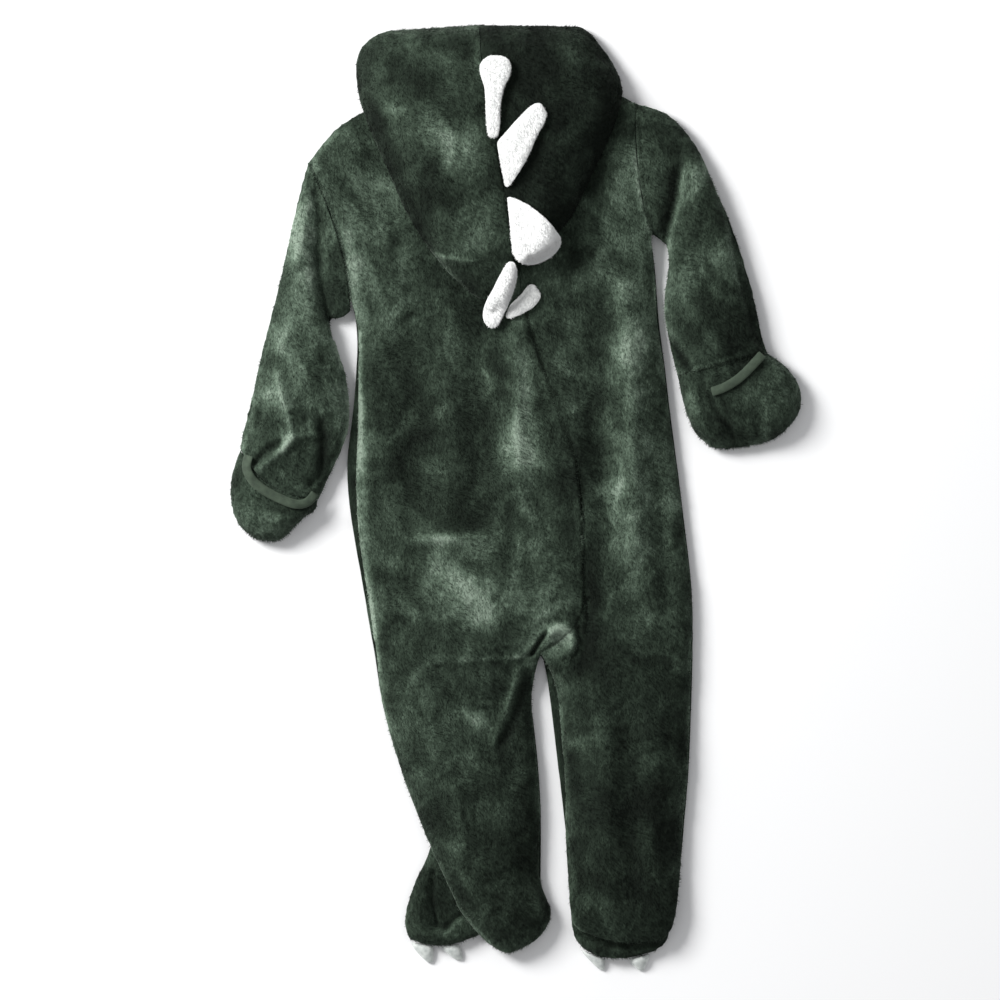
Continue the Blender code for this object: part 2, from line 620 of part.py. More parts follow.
def back_rows(neck, armhole, side, leg, left):
    """Rows of half the back: neck, armhole and side edges on one hand, the centre seam on the other."""
    edges = neck + armhole + side
    rows = []
    for edge, (seam_x, seam_y) in zip(edges, CENTRE_SEAM):
        crown = TORSO_CROWN
        if len(rows) < len(neck):
            crown -= NECK_SLOPE * (len(neck) - len(rows))
        if seam_y < SEAT_Y:
            crown += SEAT_RISE * (SEAT_Y - seam_y) / (SEAT_Y - CENTRE_SEAM[-1][1])
        outer = (edge.x, edge.y, edge.height, SEAM_ROUND if edge.height == SEAM else TORSO_ROUND)
        centre = (seam_x, seam_y, SEAM, SEAM_ROUND)
        pair = outer + centre if left else centre + outer
        rows.append(Section(*pair, crown, 0))
    return rows + leg


def armhole_edges(start, end, bow, count):
    """Edges of the body along an armhole seam, from the shoulder down to the underarm."""
    edges = []
    for k in range(count):
        place = bowed(start, end, bow, k / (count - 1))
        edges.append(Edge(place.x, place.y, SEAM))
    return edges


def front_rows(neck, armhole, side, leg, left):
    """Rows of half the front, from the neck to the ankle, with the zip on its inner edge."""
    outer = [(edge.x, edge.y) for edge in neck + armhole] + side
    sewn = [edge.height == SEAM for edge in neck + armhole] + [False] * len(side)
    hand = -1 if left else 1
    zip_edge = ZIP_X + hand * ZIP_WIDTH / 2
    rows = []
    for k, (x, y) in enumerate(outer):
        inner_x, inner_y = zip_edge, min(y, ZIP_TOP)
        if k == len(outer) - 2:
            inner_x, inner_y = 4 + hand * 1.0, -118
        if k == len(outer) - 1:
            inner_x, inner_y = CENTRE_SEAM[-1][0] + hand * 1.0, CENTRE_SEAM[-1][1]
        if k == len(outer) - 3:
            inner_y = ZIP_BOTTOM
        near = (x, y, SEAM if sewn[k] else RIM, 20)
        far = (inner_x, inner_y, SEAM, 6)
        pair = near + far if left else far + near
        rows.append(Section(*pair, 0, 0))
    return rows + leg


def ribbon(name, centres, material):
    """A binding: a flat rib strip that lies over the mouth of a mitten."""
    line = smooth_rows(centres, 2)
    leaves = []
    for k, (x, y) in enumerate(line):
        before, after = line[max(k - 1, 0)], line[min(k + 1, len(line) - 1)]
        along = (Vector(after) - Vector(before)).normalized()
        aside = Vector((along.y, -along.x)) * BINDING_WIDTH / 2
        leaves.append(Leaf(x - aside.x, y - aside.y, x + aside.x, y + aside.y, BINDING_THICK))
    return pad(name, leaves, 1, rest_on_cloth, stuffed, material, steps=1)


def rest_on_cloth(x, y):
    return height_below(x, y, OVER_CLOTH) + REST_GAP


def rest_on_back(x, y):
    return height_below(x, y, OVER_BACK) + REST_GAP


def rest_on_floor(x, y):
    return 0.0


def stuffed(x, y, leaf, low):
    return low + leaf.thick


def centre_on_origin(pieces):
    """Moves every mesh so that the middle of the footprint is over the origin."""
    corners = [vertex.co for piece in pieces for vertex in piece.data.vertices]
    middle_x = (min(c.x for c in corners) + max(c.x for c in corners)) / 2
    middle_y = (min(c.y for c in corners) + max(c.y for c in corners)) / 2
    lowest = min(c.z for c in corners)
    for piece in pieces:
        for vertex in piece.data.vertices:
            vertex.co -= Vector((middle_x, middle_y, lowest))


for old in list(bpy.data.objects):
    bpy.data.objects.remove(old)

light_plush = make_material("plush_light", (0.045, 0.065, 0.047), 0.95)
dark_plush = make_material("plush_dark", (0.017, 0.025, 0.018), 0.95)
binding_rib = make_material("rib_binding", (0.06, 0.08, 0.055), 0.85)
white_plush = make_material("plush_white", (0.85, 0.86, 0.84), 0.9)
claw_satin = make_material("claw_satin", (0.62, 0.65, 0.62), 0.4)
zip_nylon = make_material("zip_nylon", (0.03, 0.04, 0.03), 0.5)

left_arm = armhole_edges(LEFT_SHOULDER, LEFT_UNDERARM, LEFT_ARM_BOW, 5)
right_arm = armhole_edges(RIGHT_SHOULDER, RIGHT_UNDERARM, -RIGHT_ARM_BOW, 5)
SHOULDER_ROW, UNDERARM_ROW, CROTCH_ROW = 2, 6, 15
BODY_CORNERS = (SHOULDER_ROW, UNDERARM_ROW, CROTCH_ROW)

# Front, which lies on the floor, with the zip between its halves
front_left = front_rows(LEFT_NECK, left_arm, FRONT_LEFT_SIDE, FRONT_LEFT_LEG, left=True)
front_right_side = [(edge.x + 1, edge.y) for edge in RIGHT_SIDE]
front_right = front_rows(RIGHT_NECK, right_arm, front_right_side, FRONT_RIGHT_LEG, left=False)
pieces = [
    under_wall("front_left", sections_of(front_left, 1, BODY_CORNERS), 3, light_plush),
    under_wall("front_right", sections_of(front_right, 1, BODY_CORNERS), 3, dark_plush),
]
SURFACES.clear()

# Back, in two halves with the legs cut in one
back_left = back_rows(LEFT_NECK, left_arm, LEFT_SIDE, LEFT_LEG, left=True)
back_right = back_rows(RIGHT_NECK, right_arm, RIGHT_SIDE, RIGHT_LEG, left=False)
pieces += [
    top_wall("back_left", sections_of(back_left, 2, BODY_CORNERS), 6, BODY_FOLDS, light_plush),
    top_wall("back_right", sections_of(back_right, 2, BODY_CORNERS), 6, BODY_FOLDS, dark_plush),
]

# Sleeves and mittens
pieces += [
    tube("sleeve_left", sections_of(LEFT_SLEEVE, 2), 3, SLEEVE_FOLDS, light_plush),
    tube("sleeve_right", sections_of(RIGHT_SLEEVE, 2), 3, SLEEVE_FOLDS, dark_plush),
    tube("mitten_left", sections_of(LEFT_MITTEN, 2), 3, SLEEVE_FOLDS, light_plush, closed_end=True),
    tube("mitten_right", sections_of(RIGHT_MITTEN, 2), 3, SLEEVE_FOLDS, dark_plush, closed_end=True),
    ribbon("binding_left", LEFT_BINDING, binding_rib),
    ribbon("binding_right", RIGHT_BINDING, binding_rib),
]

# Hood halves, which meet along the seam that carries the spikes
hood_left = []
hood_right = []
for edge, (seam_x, seam_y), crown in zip(HOOD_LEFT_EDGE, HOOD_SEAM, HOOD_CROWN):
    reach = HOOD_ROUND * math.dist((edge.x, edge.y), (seam_x, seam_y))
    hood_left.append(
        Section(edge.x, edge.y, edge.height, reach, seam_x, seam_y, SEAM, SEAM_ROUND, crown, 0)
    )
for edge, (seam_x, seam_y), crown in zip(HOOD_RIGHT_EDGE, HOOD_SEAM, HOOD_CROWN):
    reach = HOOD_ROUND * math.dist((edge.x, edge.y), (seam_x, seam_y))
    hood_right.append(
        Section(seam_x, seam_y, SEAM, SEAM_ROUND, edge.x, edge.y, edge.height, reach, crown, 0)
    )
HOOD_CORNERS = (len(HOOD_RIGHT_EDGE) - 1,)
body_surfaces = list(SURFACES)
pieces += [
    top_wall("hood_left", sections_of(hood_left, 2, HOOD_CORNERS), 5, HOOD_FOLDS, light_plush),
    top_wall("hood_right", sections_of(hood_right, 2, HOOD_CORNERS), 5, HOOD_FOLDS, dark_plush),
]
hood_surfaces = SURFACES[len(body_surfaces):]
all_surfaces = list(SURFACES)
for name, leaves in SPIKES.items():
    pieces.append(pad(name, leaves, 5, rest_on_cloth, stuffed, white_plush))
    SURFACES[:] = all_surfaces

# Hidden layers of the hood: the nape over the back, and the rolled neck on the floor


def under_hood(x, y, leaf, low):
    """Just under the hood, or a thin layer where nothing is above."""
    above = height_above(hood_surfaces, x, y, low, UNDER_HOOD)
    return low + THINNEST if above == FAR else max(low + THINNEST, above - leaf.room)


SURFACES[:] = body_surfaces
pieces.append(pad("hood_inner", HOOD_INNER, 4, rest_on_back, under_hood, dark_plush))
pieces.append(pad("neck_roll", NECK_ROLL, 4, rest_on_floor, under_hood, dark_plush))
SURFACES[:] = all_surfaces

# Feet: the soles on the floor, the uppers over them, and the claws at the toes
for side, rows, colour in (("left", LEFT_FOOT, light_plush), ("right", RIGHT_FOOT, dark_plush)):
    pieces.append(under_wall(f"sole_{side}", sections_of(rows, 1), 2, dark_plush))
    pieces.append(top_wall(f"foot_{side}", sections_of(rows, 2), 3, TOE_FOLDS, colour))
for name, leaves in CLAWS.items():
    pieces.append(pad(name, leaves, 1, rest_on_floor, stuffed, claw_satin))

# Zip, pressed flat between the halves of the front
zip_half = ZIP_WIDTH / 2 - SEAM_GAP
zip_rows = [
    Section(ZIP_X - zip_half, y, SEAM, 1, ZIP_X + zip_half, y, SEAM, 1, 0, 0)
    for y in (ZIP_TOP, 200.0, 60.0, ZIP_BOTTOM + 8)
]
pieces.append(under_wall("zip_tape", sections_of(zip_rows, 1), 1, zip_nylon))

centre_on_origin(pieces)
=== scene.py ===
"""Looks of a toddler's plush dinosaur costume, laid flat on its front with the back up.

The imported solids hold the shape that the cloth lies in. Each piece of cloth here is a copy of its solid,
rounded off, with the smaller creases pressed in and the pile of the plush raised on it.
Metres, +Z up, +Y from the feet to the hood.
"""

import math
from collections import namedtuple

import bmesh
import bpy
import numpy as np
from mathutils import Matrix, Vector, noise
from mathutils.bvhtree import BVHTree


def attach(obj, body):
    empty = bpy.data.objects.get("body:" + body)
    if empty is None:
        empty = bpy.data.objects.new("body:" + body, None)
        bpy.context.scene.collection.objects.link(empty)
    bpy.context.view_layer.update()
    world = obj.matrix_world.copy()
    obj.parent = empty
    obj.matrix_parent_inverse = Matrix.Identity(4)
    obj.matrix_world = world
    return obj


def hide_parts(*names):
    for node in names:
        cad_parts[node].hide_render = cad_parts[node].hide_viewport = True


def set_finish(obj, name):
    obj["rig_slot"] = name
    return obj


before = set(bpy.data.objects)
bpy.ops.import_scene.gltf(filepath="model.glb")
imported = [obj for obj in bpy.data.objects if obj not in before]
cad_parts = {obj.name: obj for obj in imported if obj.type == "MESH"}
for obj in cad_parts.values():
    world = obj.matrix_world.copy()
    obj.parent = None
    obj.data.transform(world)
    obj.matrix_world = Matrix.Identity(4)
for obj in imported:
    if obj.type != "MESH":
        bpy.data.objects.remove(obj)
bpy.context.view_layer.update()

# Camera: it hangs far above the garment and looks straight down, as the flat-lay was taken.
# Places on the cloth are read off the picture, 0.9 mm to each of its thousand steps.
PICTURE_SIDE, PICTURE_STEP = 1000, 0.0009
MIDDLE_ACROSS, MIDDLE_DOWN = 516.06, 497.94  # where the origin lies in the picture
CAMERA_HEIGHT, CAMERA_SEES = 6.0, 100.0
FILM_WIDTH = 36.0


def spot(across, down):
    """The place on the surface under a place in the picture."""
    return (across - MIDDLE_ACROSS) * PICTURE_STEP, (MIDDLE_DOWN - down) * PICTURE_STEP


def placed(name, data):
    """A new object, linked into the scene."""
    made = bpy.data.objects.new(name, data)
    bpy.context.scene.collection.objects.link(made)
    return made


camera_data = bpy.data.cameras.new("camera")
camera_data.sensor_width = FILM_WIDTH
camera_data.lens = FILM_WIDTH * CAMERA_HEIGHT / (PICTURE_SIDE * PICTURE_STEP)
camera_data.clip_end = CAMERA_SEES
camera = placed("camera", camera_data)
camera.location = (*spot(PICTURE_SIDE / 2, PICTURE_SIDE / 2), CAMERA_HEIGHT)
bpy.context.scene.camera = camera

# Floor and light: a plain pale floor, one large soft light from the upper left and a pale sky.
# The light is low enough for the left slopes of the folds to catch it and the right ones to fall dark.
FLOOR_SIZE, FLOOR_DROP = 40.0, 0.0006
FLOOR_COLOUR = (0.86, 0.86, 0.86, 1.0)
KEY_PLACE, KEY_SIZE, KEY_POWER = (-2.5, 1.5, 2.0), 1.3, 190.0
SKY_COLOUR, SKY_STRENGTH = (0.97, 0.98, 1.0, 1.0), 0.50


def new_material(name, roughness):
    """A new material, with its shader, its nodes and its links."""
    material = bpy.data.materials.new(name)
    material.use_nodes = True
    nodes = material.node_tree.nodes
    shader = nodes["Principled BSDF"]
    shader.inputs["Roughness"].default_value = roughness
    return material, shader, nodes, material.node_tree.links


floor_mesh = bmesh.new()
bmesh.ops.create_grid(floor_mesh, x_segments=1, y_segments=1, size=FLOOR_SIZE / 2)
bmesh.ops.translate(floor_mesh, verts=floor_mesh.verts, vec=(0, 0, -FLOOR_DROP))
floor_data = bpy.data.meshes.new("floor")
floor_mesh.to_mesh(floor_data)
floor_mesh.free()
floor = placed("floor", floor_data)
floor_paper, paper_shader, _, _ = new_material("pale_floor", 0.9)
paper_shader.inputs["Base Color"].default_value = FLOOR_COLOUR
floor_data.materials.append(floor_paper)

key_data = bpy.data.lights.new("key_light", "AREA")
key_data.energy = KEY_POWER
key_data.size = KEY_SIZE
key_light = placed("key_light", key_data)
key_light.location = KEY_PLACE
key_light.rotation_euler = (-Vector(KEY_PLACE)).to_track_quat("-Z", "Y").to_euler()

sky = bpy.data.worlds.new("pale_sky")
sky.use_nodes = True
sky.node_tree.nodes["Background"].inputs["Color"].default_value = SKY_COLOUR
sky.node_tree.nodes["Background"].inputs["Strength"].default_value = SKY_STRENGTH
bpy.context.scene.world = sky
bpy.context.scene.view_settings.view_transform = "Standard"

# Back: two halves of short brushed plush, sewn down the middle with the legs cut in one.
# The nap lies in patches, light where it is brushed towards the light and nearly black where it isn't;
# the tables also paint highlights on the lit edges and painted shade in the folds, the crotch and down the
# legs.
MM = 0.001
FIRM_RIM = 0.55  # how far a sewn edge keeps its corner when the cloth is rounded off
JOIN_WITHIN, NO_AREA = 0.00001, 1e-12
FLAT_WITHIN, SQUARE_WITHIN, RIM_FROM = math.radians(40), math.radians(70), math.radians(50)
CLOTH_RISES = 0.0055  # the upper cloth lies above this height
LOOKS_UP, PRESSED_FROM = 0.05, 0.3  # how far cloth looks up to be made fine, and to take a whole crease
PILE_LIFT, PILE_CLUMP = 0.0006, 0.0050
PILE_FREE_FROM, PILE_FREE_OVER = 0.001, 0.002  # the pile is crushed flat below the first height
RIDGE_PAINTED_LIGHT = 40  # painted light on a ridge and painted shade in a crease: how much lighter the colour is for each metre of height
ROOTS_HANG, TURNS_UP = -0.3, 0.5  # tufts root down to the first tilt; past the second, low cloth is inside
TUFT_LENGTH, TUFT_WIDTH, TUFT_SPACING = 0.0026, 0.00073, 0.0018
TUFT_SUNK = 0.0004  # how far a tuft's root lies in the cloth
TUFT_SHORTEST, TUFT_LONGEST = 0.6, 1.2  # of the length
TUFT_UP, TUFT_OVER, TUFT_WAYWARD = 0.6, 0.75, 0.28  # a tuft's way: off the cloth, along the nap, by chance
TUFT_UNEVEN, ROOT_PAINTED_SHADE, TIP_PAINTED_LIGHT = 0.09, -0.05, 0.05  # how tufts differ in lightness at random, and the painted shade at each tuft's root and painted light at its tip
TUFT_ROUND = 0.35  # how far a tuft is lit by its own lean, and not as the cloth it stands on
SEAM_NEAR, SEAM_TUFTS, SEAM_LEAN = 0.0024, 5.0, 1.1  # the pile is closer along a seam and leans over it
STEP_ASIDE, STEP_UP = 0.0001, 0.0005  # small steps: which way a seam lies, and what covers a root
NAP_LIES = (0.25, -1.0)  # the way the pile is brushed, towards the feet
NAP_TURNS, NAP_TURN_OVER = 1.3, 0.028  # how far it is crushed aside, in radians, and over what distance

# A crease in the cloth: a line of places in the picture, its depth and width in mm, below 0 for a ridge,
# and how much higher the cloth lies on the line's left-hand side than on its right.
Crease = namedtuple("Crease", "places depth width step")

# A patch of nap, of painted highlight or of painted shade: where it is in the picture, its half length and
# width, its turn from upright in degrees, clockwise, and how much lighter or darker it is
Patch = namedtuple("Patch", "across down long wide turn light")

# A painted highlight or painted shade along a line of places, such as the lit edge of a fold or its shaded
# valley
Streak = namedtuple("Streak", "places wide light")

BACK_CREASES = [
    Crease([(572, 470), (588, 540), (594, 600), (586, 650)], 2.6, 16, 0),
    Crease([(470, 592), (515, 602), (545, 608)], -2.6, 24, 0),
    Crease([(392, 350), (404, 430), (420, 505)], 2.4, 20, 0),
    Crease([(484, 330), (472, 400), (482, 500)], 2.2, 15, 0),
    Crease([(516, 335), (518, 425), (524, 515)], -2.4, 8, 0),
    Crease([(628, 290), (632, 400), (636, 545)], -2.4, 13, 0),
    Crease([(600, 300), (598, 400), (602, 470)], 2.0, 12, 0),
    Crease([(657, 470), (662, 560), (664, 610)], 2.0, 9, 0),
    Crease([(440, 700), (458, 780), (486, 860)], -2.0, 18, 0),
    Crease([(508, 760), (520, 820), (524, 880)], 2.0, 12, 0),
    Crease([(600, 720), (604, 800), (606, 890)], -1.6, 13, 0),
    Crease([(628, 700), (630, 800), (634, 880)], 1.8, 12, 0),
    Crease([(656, 720), (654, 800), (652, 880)], -1.4, 12, 0),
    Crease([(400, 600), (415, 640), (440, 668)], 2.0, 12, 0),
    Crease([(420, 200), (400, 270), (396, 330)], -1.6, 12, 0),
    Crease([(376, 130), (370, 200), (380, 300)], 1.6, 9, 0),
    Crease([(600, 230), (620, 260), (650, 290)], 1.6, 10, 0),
    Crease([(520, 640), (500, 646), (472, 648)], -2.0, 5, 0),
    Crease([(532, 520), (545, 560), (552, 600)], -1.6, 8, 0),
    Crease([(515, 325), (517, 425), (521, 510)], -1.2, 5, 0),
    Crease([(416, 541), (448, 537), (482, 538)], -2.2, 5, 0),
    Crease([(405, 522), (440, 524), (490, 520)], 1.2, 7, 0),
    Crease([(440, 664), (480, 661), (520, 660), (528, 654)], 1.0, 2.5, 2.4),
    Crease([(518, 668), (508, 703), (493, 743)], -2.4, 3.5, 0),
    Crease([(528, 672), (518, 706), (504, 740)], 2.0, 4.0, 0),
    Crease([(532, 653), (539, 643), (546, 633)], 3.8, 2.2, 0),
    Crease([(549, 634), (558, 628), (568, 631), (574, 641), (570, 650)], -3.6, 4.0, 0),
    Crease([(541, 626), (550, 620), (562, 620)], 1.4, 3.0, 0),
    Crease([(551, 645), (557, 643), (563, 647)], 2.0, 1.8, 0),
    Crease([(578, 628), (581, 640), (574, 654)], 2.4, 2.6, 0),
    Crease([(588, 600), (590, 625), (584, 648)], 2.0, 3.5, 0),
    Crease([(560, 620), (552, 600), (548, 575)], 1.4, 4, 0),
    Crease([(585, 640), (610, 625), (640, 600)], 1.0, 6, 0),
    Crease([(500, 650), (470, 630), (440, 600)], 1.0, 8, 0),
    Crease([(345, 463), (353, 543), (366, 600)], 1.2, 3, 0),
    Crease([(622, 290), (630, 400), (634, 540)], -1.4, 9, 0),
    Crease([(560, 680), (563, 740), (567, 800), (568, 870)], 1.2, 3, 0),
    Crease([(350, 215), (366, 260), (372, 310)], 1.4, 6, 0),
    Crease([(380, 190), (396, 240), (410, 290)], 1.2, 7, 0),
    Crease([(648, 130), (656, 200), (664, 280)], -1.5, 6, 0),
    Crease([(452, 850), (476, 892), (500, 925)], -1.2, 7, 0),
    Crease([(430, 760), (450, 815), (478, 850)], 1.0, 10, 0),
    Crease([(600, 890), (630, 900), (665, 893)], 1.0, 8, 0),
]
# The nap's patches, with painted shade in the dark patches down the legs and a painted highlight in the thin
# light one down the left edge
BACK_PATCHES = [
    Patch(528, 410, 95, 10, -4, 0.24), Patch(512, 465, 24, 12, 20, 0.22),
    Patch(638, 360, 90, 16, 2, 0.17), Patch(622, 480, 60, 12, 0, 0.10),
    Patch(448, 538, 7, 34, 0, 0.42), Patch(465, 595, 26, 36, 30, 0.30),
    Patch(442, 411, 14, 7, 25, 0.30), Patch(400, 430, 95, 34, 0, -0.16),
    Patch(470, 455, 70, 24, 0, -0.14), Patch(570, 520, 60, 14, 0, -0.22),
    Patch(559, 638, 14, 15, 0, 0.44), Patch(500, 682, 18, 24, 0, -0.14), Patch(478, 712, 16, 12, 20, 0.14),
    Patch(640, 612, 30, 13, 0, 0.26), Patch(480, 712, 60, 46, 0, -0.06),
    Patch(480, 722, 13, 20, 20, 0.26), Patch(462, 842, 16, 30, 10, 0.14),
    Patch(395, 640, 60, 24, 20, -0.06), Patch(362, 450, 150, 5, -3, 0.28),
    Patch(360, 250, 90, 28, 0, 0.20), Patch(330, 170, 34, 30, 0, 0.16),
    Patch(652, 170, 55, 14, 0, 0.16), Patch(590, 800, 110, 30, 0, -0.14),
    Patch(660, 780, 110, 26, 0, -0.12), Patch(600, 660, 24, 26, 0, -0.16),
    Patch(520, 590, 40, 14, 0, -0.10), Patch(530, 860, 60, 10, 0, -0.12),
    Patch(505, 640, 10, 34, 0, -0.12), Patch(610, 250, 60, 30, 0, 0.06),
    Patch(672, 480, 100, 8, 0, 0.14), Patch(590, 420, 90, 16, 0, -0.14),
    Patch(480, 880, 70, 60, 0, -0.20), Patch(630, 760, 110, 70, 0, -0.14), Patch(630, 880, 80, 70, 0, -0.20),
    Patch(460, 770, 90, 50, 0, -0.08), Patch(470, 600, 50, 60, 0, 0.16), Patch(640, 420, 140, 40, 0, 0.05),
    Patch(360, 290, 50, 30, 0, 0.14), Patch(640, 620, 50, 40, 0, -0.10),
    Patch(400, 555, 14, 20, 40, 0.12), Patch(424, 590, 22, 9, 10, 0.20), Patch(488, 612, 26, 10, 40, 0.24),
    Patch(506, 446, 20, 9, 20, 0.22), Patch(524, 380, 22, 7, -10, 0.20), Patch(622, 340, 30, 7, 4, 0.14),
    Patch(644, 430, 34, 8, -6, 0.12), Patch(616, 500, 20, 7, 10, 0.18), Patch(412, 470, 30, 12, 0, -0.12),
    Patch(388, 385, 40, 10, 5, 0.10), Patch(540, 560, 24, 12, 20, -0.10), Patch(372, 610, 60, 6, -8, 0.14),
    Patch(410, 690, 26, 14, 20, 0.10), Patch(436, 742, 20, 12, 30, 0.12), Patch(590, 690, 12, 20, 0, 0.12),
    Patch(632, 740, 26, 12, 0, 0.10), Patch(600, 770, 20, 10, 10, 0.12), Patch(644, 850, 22, 12, 0, 0.08),
    Patch(606, 905, 10, 22, 0, 0.10), Patch(470, 905, 10, 16, 40, 0.12), Patch(455, 660, 14, 20, 0, 0.14),
    Patch(596, 600, 46, 9, 0, -0.14), Patch(566, 500, 60, 14, -6, -0.06), Patch(452, 470, 60, 22, 10, -0.06),
    Patch(459, 850, 12, 9, 0, 0.14), Patch(484, 690, 40, 8, 10, 0.10), Patch(366, 158, 8, 10, -30, -0.18),
    Patch(352, 190, 14, 10, -30, -0.12), Patch(385, 196, 14, 12, 0, 0.14), Patch(350, 240, 16, 10, 0, 0.10),
    Patch(402, 262, 20, 10, -35, 0.12), Patch(620, 190, 20, 8, 10, 0.14), Patch(600, 236, 14, 16, 30, 0.12),
    Patch(642, 262, 20, 7, -14, 0.16), Patch(440, 320, 20, 26, 0, -0.10), Patch(380, 340, 26, 12, 0, 0.08),
    Patch(560, 330, 24, 16, 0, -0.10), Patch(455, 395, 26, 10, 20, 0.08), Patch(425, 455, 18, 9, 30, 0.08),
]
# Painted highlights along the lit edges of the body, legs and folds, and painted shade in the valleys and the
# crotch
BACK_PAINTED_STREAKS = [
    Streak([(360, 335), (359, 438), (357, 508), (359, 530), (368, 589), (377, 662), (388, 730)], 4, 0.32),
    Streak([(559, 676), (562, 734), (567, 782), (566, 820), (568, 861)], 3, 0.30),
    Streak([(634, 144), (637, 184), (645, 219), (651, 233), (654, 271), (659, 327), (664, 380)], 4, 0.24),
    Streak([(534, 665), (535, 722), (538, 772), (540, 810)], 3, 0.16),
    Streak([(528, 328), (546, 376), (559, 400), (565, 428), (577, 453)], 3, -0.12),
    Streak([(586, 555), (590, 600), (588, 650), (576, 668)], 8, -0.26),
    Streak([(452, 668), (480, 665), (518, 664)], 3, -0.12),
    Streak([(450, 662), (480, 659), (524, 656)], 2, 0.22),
    Streak([(518, 672), (508, 705), (494, 742)], 4, 0.18),
    Streak([(528, 676), (520, 706), (506, 738)], 4, -0.22),
    Streak([(532, 652), (539, 642), (546, 631)], 2, -0.40),
    Streak([(549, 630), (560, 626), (571, 634)], 3, 0.24),
    Streak([(455, 880), (476, 905), (498, 930)], 4, -0.10),
    Streak([(440, 862), (448, 884), (458, 904), (473, 925), (490, 942)], 2.5, 0.24),
    Streak([(533, 848), (538, 880), (537, 904)], 4, 0.18),
    Streak([(546, 880), (549, 900), (545, 920)], 4, -0.12),
    Streak([(572, 924), (590, 937), (612, 943), (640, 946), (664, 942)], 2, 0.20),
    Streak([(566, 866), (567, 900), (572, 924)], 2.5, 0.20),
    Streak([(455, 590), (462, 610), (452, 640)], 8, -0.10),
    Streak([(498, 600), (512, 622), (500, 644)], 9, -0.14),
    Streak([(446, 560), (434, 590), (426, 640)], 7, -0.08),
    Streak([(690, 640), (688, 740), (684, 840)], 3, 0.10),
    Streak([(322, 196), (328, 214), (334, 236), (342, 262), (346, 292)], 4, 0.18),
]


def distance_to_line(ground, places):
    """How far each point is from a line of places, and on which side of it, left above 0."""
    nearest = np.full(len(ground), np.inf)
    side = np.zeros(len(ground))
    line = [np.array(spot(*place)) for place in places]
    for start, end in zip(line, line[1:]):
        run = end - start
        share = np.clip((ground - start) @ run / (run @ run), 0, 1)
        away = ground - start - share[:, None] * run
        distance = np.hypot(away[:, 0], away[:, 1])
        closer = distance < nearest
        nearest[closer] = distance[closer]
        side[closer] = np.sign(run[0] * away[closer, 1] - run[1] * away[closer, 0])
    return nearest, side


def pressed(ground, creases):
    """How far the creases lift or lower the cloth at each point."""
    lift = np.zeros(len(ground))
    for crease in creases:
        away, side = distance_to_line(ground, crease.places)
        width = crease.width * MM
        lift -= crease.depth * MM * np.exp(-((away / width) ** 2))
        flank = np.exp(-((away / (4 * width)) ** 2)) * np.tanh(away / width)
        lift += crease.step * (MM / 2) * side * flank
    return lift


def nap_with_painted_light(ground, level, patches):
    """How light each point is painted, from 0, black, to 1: the nap's own patches, plus painted highlights
    and painted shade from the streaks and patches.
    """
    light = np.full(len(ground), level)
    for streak in (patch for patch in patches if isinstance(patch, Streak)):
        away = distance_to_line(ground, streak.places)[0] / (streak.wide * PICTURE_STEP)
        light += streak.light * np.exp(-(away**2))
    for patch in (patch for patch in patches if isinstance(patch, Patch)):
        middle = np.array(spot(patch.across, patch.down))
        turn = math.radians(patch.turn)
        along = np.array([math.sin(turn), math.cos(turn)])
        aside = np.array([along[1], -along[0]])
        far = (ground - middle) @ along / (patch.long * PICTURE_STEP)
        wide = (ground - middle) @ aside / (patch.wide * PICTURE_STEP)
        light += patch.light * np.exp(-(far**2 + wide**2))
    return light


def cloth_of(node, rounding=2, fine=1, firmness=FIRM_RIM):
    """A node's cloth, merged, rounded off, and fine enough on its upper side to carry the pile."""
    mesh = bmesh.new()
    mesh.from_mesh(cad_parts[node].data)
    bmesh.ops.remove_doubles(mesh, verts=mesh.verts, dist=JOIN_WITHIN)
    bmesh.ops.join_triangles(
        mesh, faces=mesh.faces, angle_face_threshold=FLAT_WITHIN, angle_shape_threshold=SQUARE_WITHIN
    )
    firm = mesh.edges.layers.float.new("crease_edge")
    for edge in mesh.edges:
        if edge.is_manifold and edge.calc_face_angle(0) > RIM_FROM:
            edge[firm] = firmness
    rough = bpy.data.meshes.new(node + "_rough")
    mesh.to_mesh(rough)
    mesh.free()
    piece = placed(node + "_cloth", rough)
    smoothing = piece.modifiers.new("rounding", "SUBSURF")
    smoothing.levels = smoothing.render_levels = rounding
    smoothing.use_limit_surface = False
    graph = bpy.context.evaluated_depsgraph_get()
    rounded = bpy.data.meshes.new_from_object(piece.evaluated_get(graph))
    piece.modifiers.clear()
    piece.data = rounded
    rounded.name = node + "_cloth"
    bpy.data.meshes.remove(rough)
    if fine:
        mesh = bmesh.new()
        mesh.from_mesh(rounded)
        upper = [
            face for face in mesh.faces
            if face.normal.z > LOOKS_UP and face.calc_center_median().z > CLOTH_RISES
        ]
        edges = list({edge for face in upper for edge in face.edges})
        bmesh.ops.subdivide_edges(mesh, edges=edges, cuts=fine, use_grid_fill=True)
        mesh.to_mesh(rounded)
        mesh.free()
    return piece


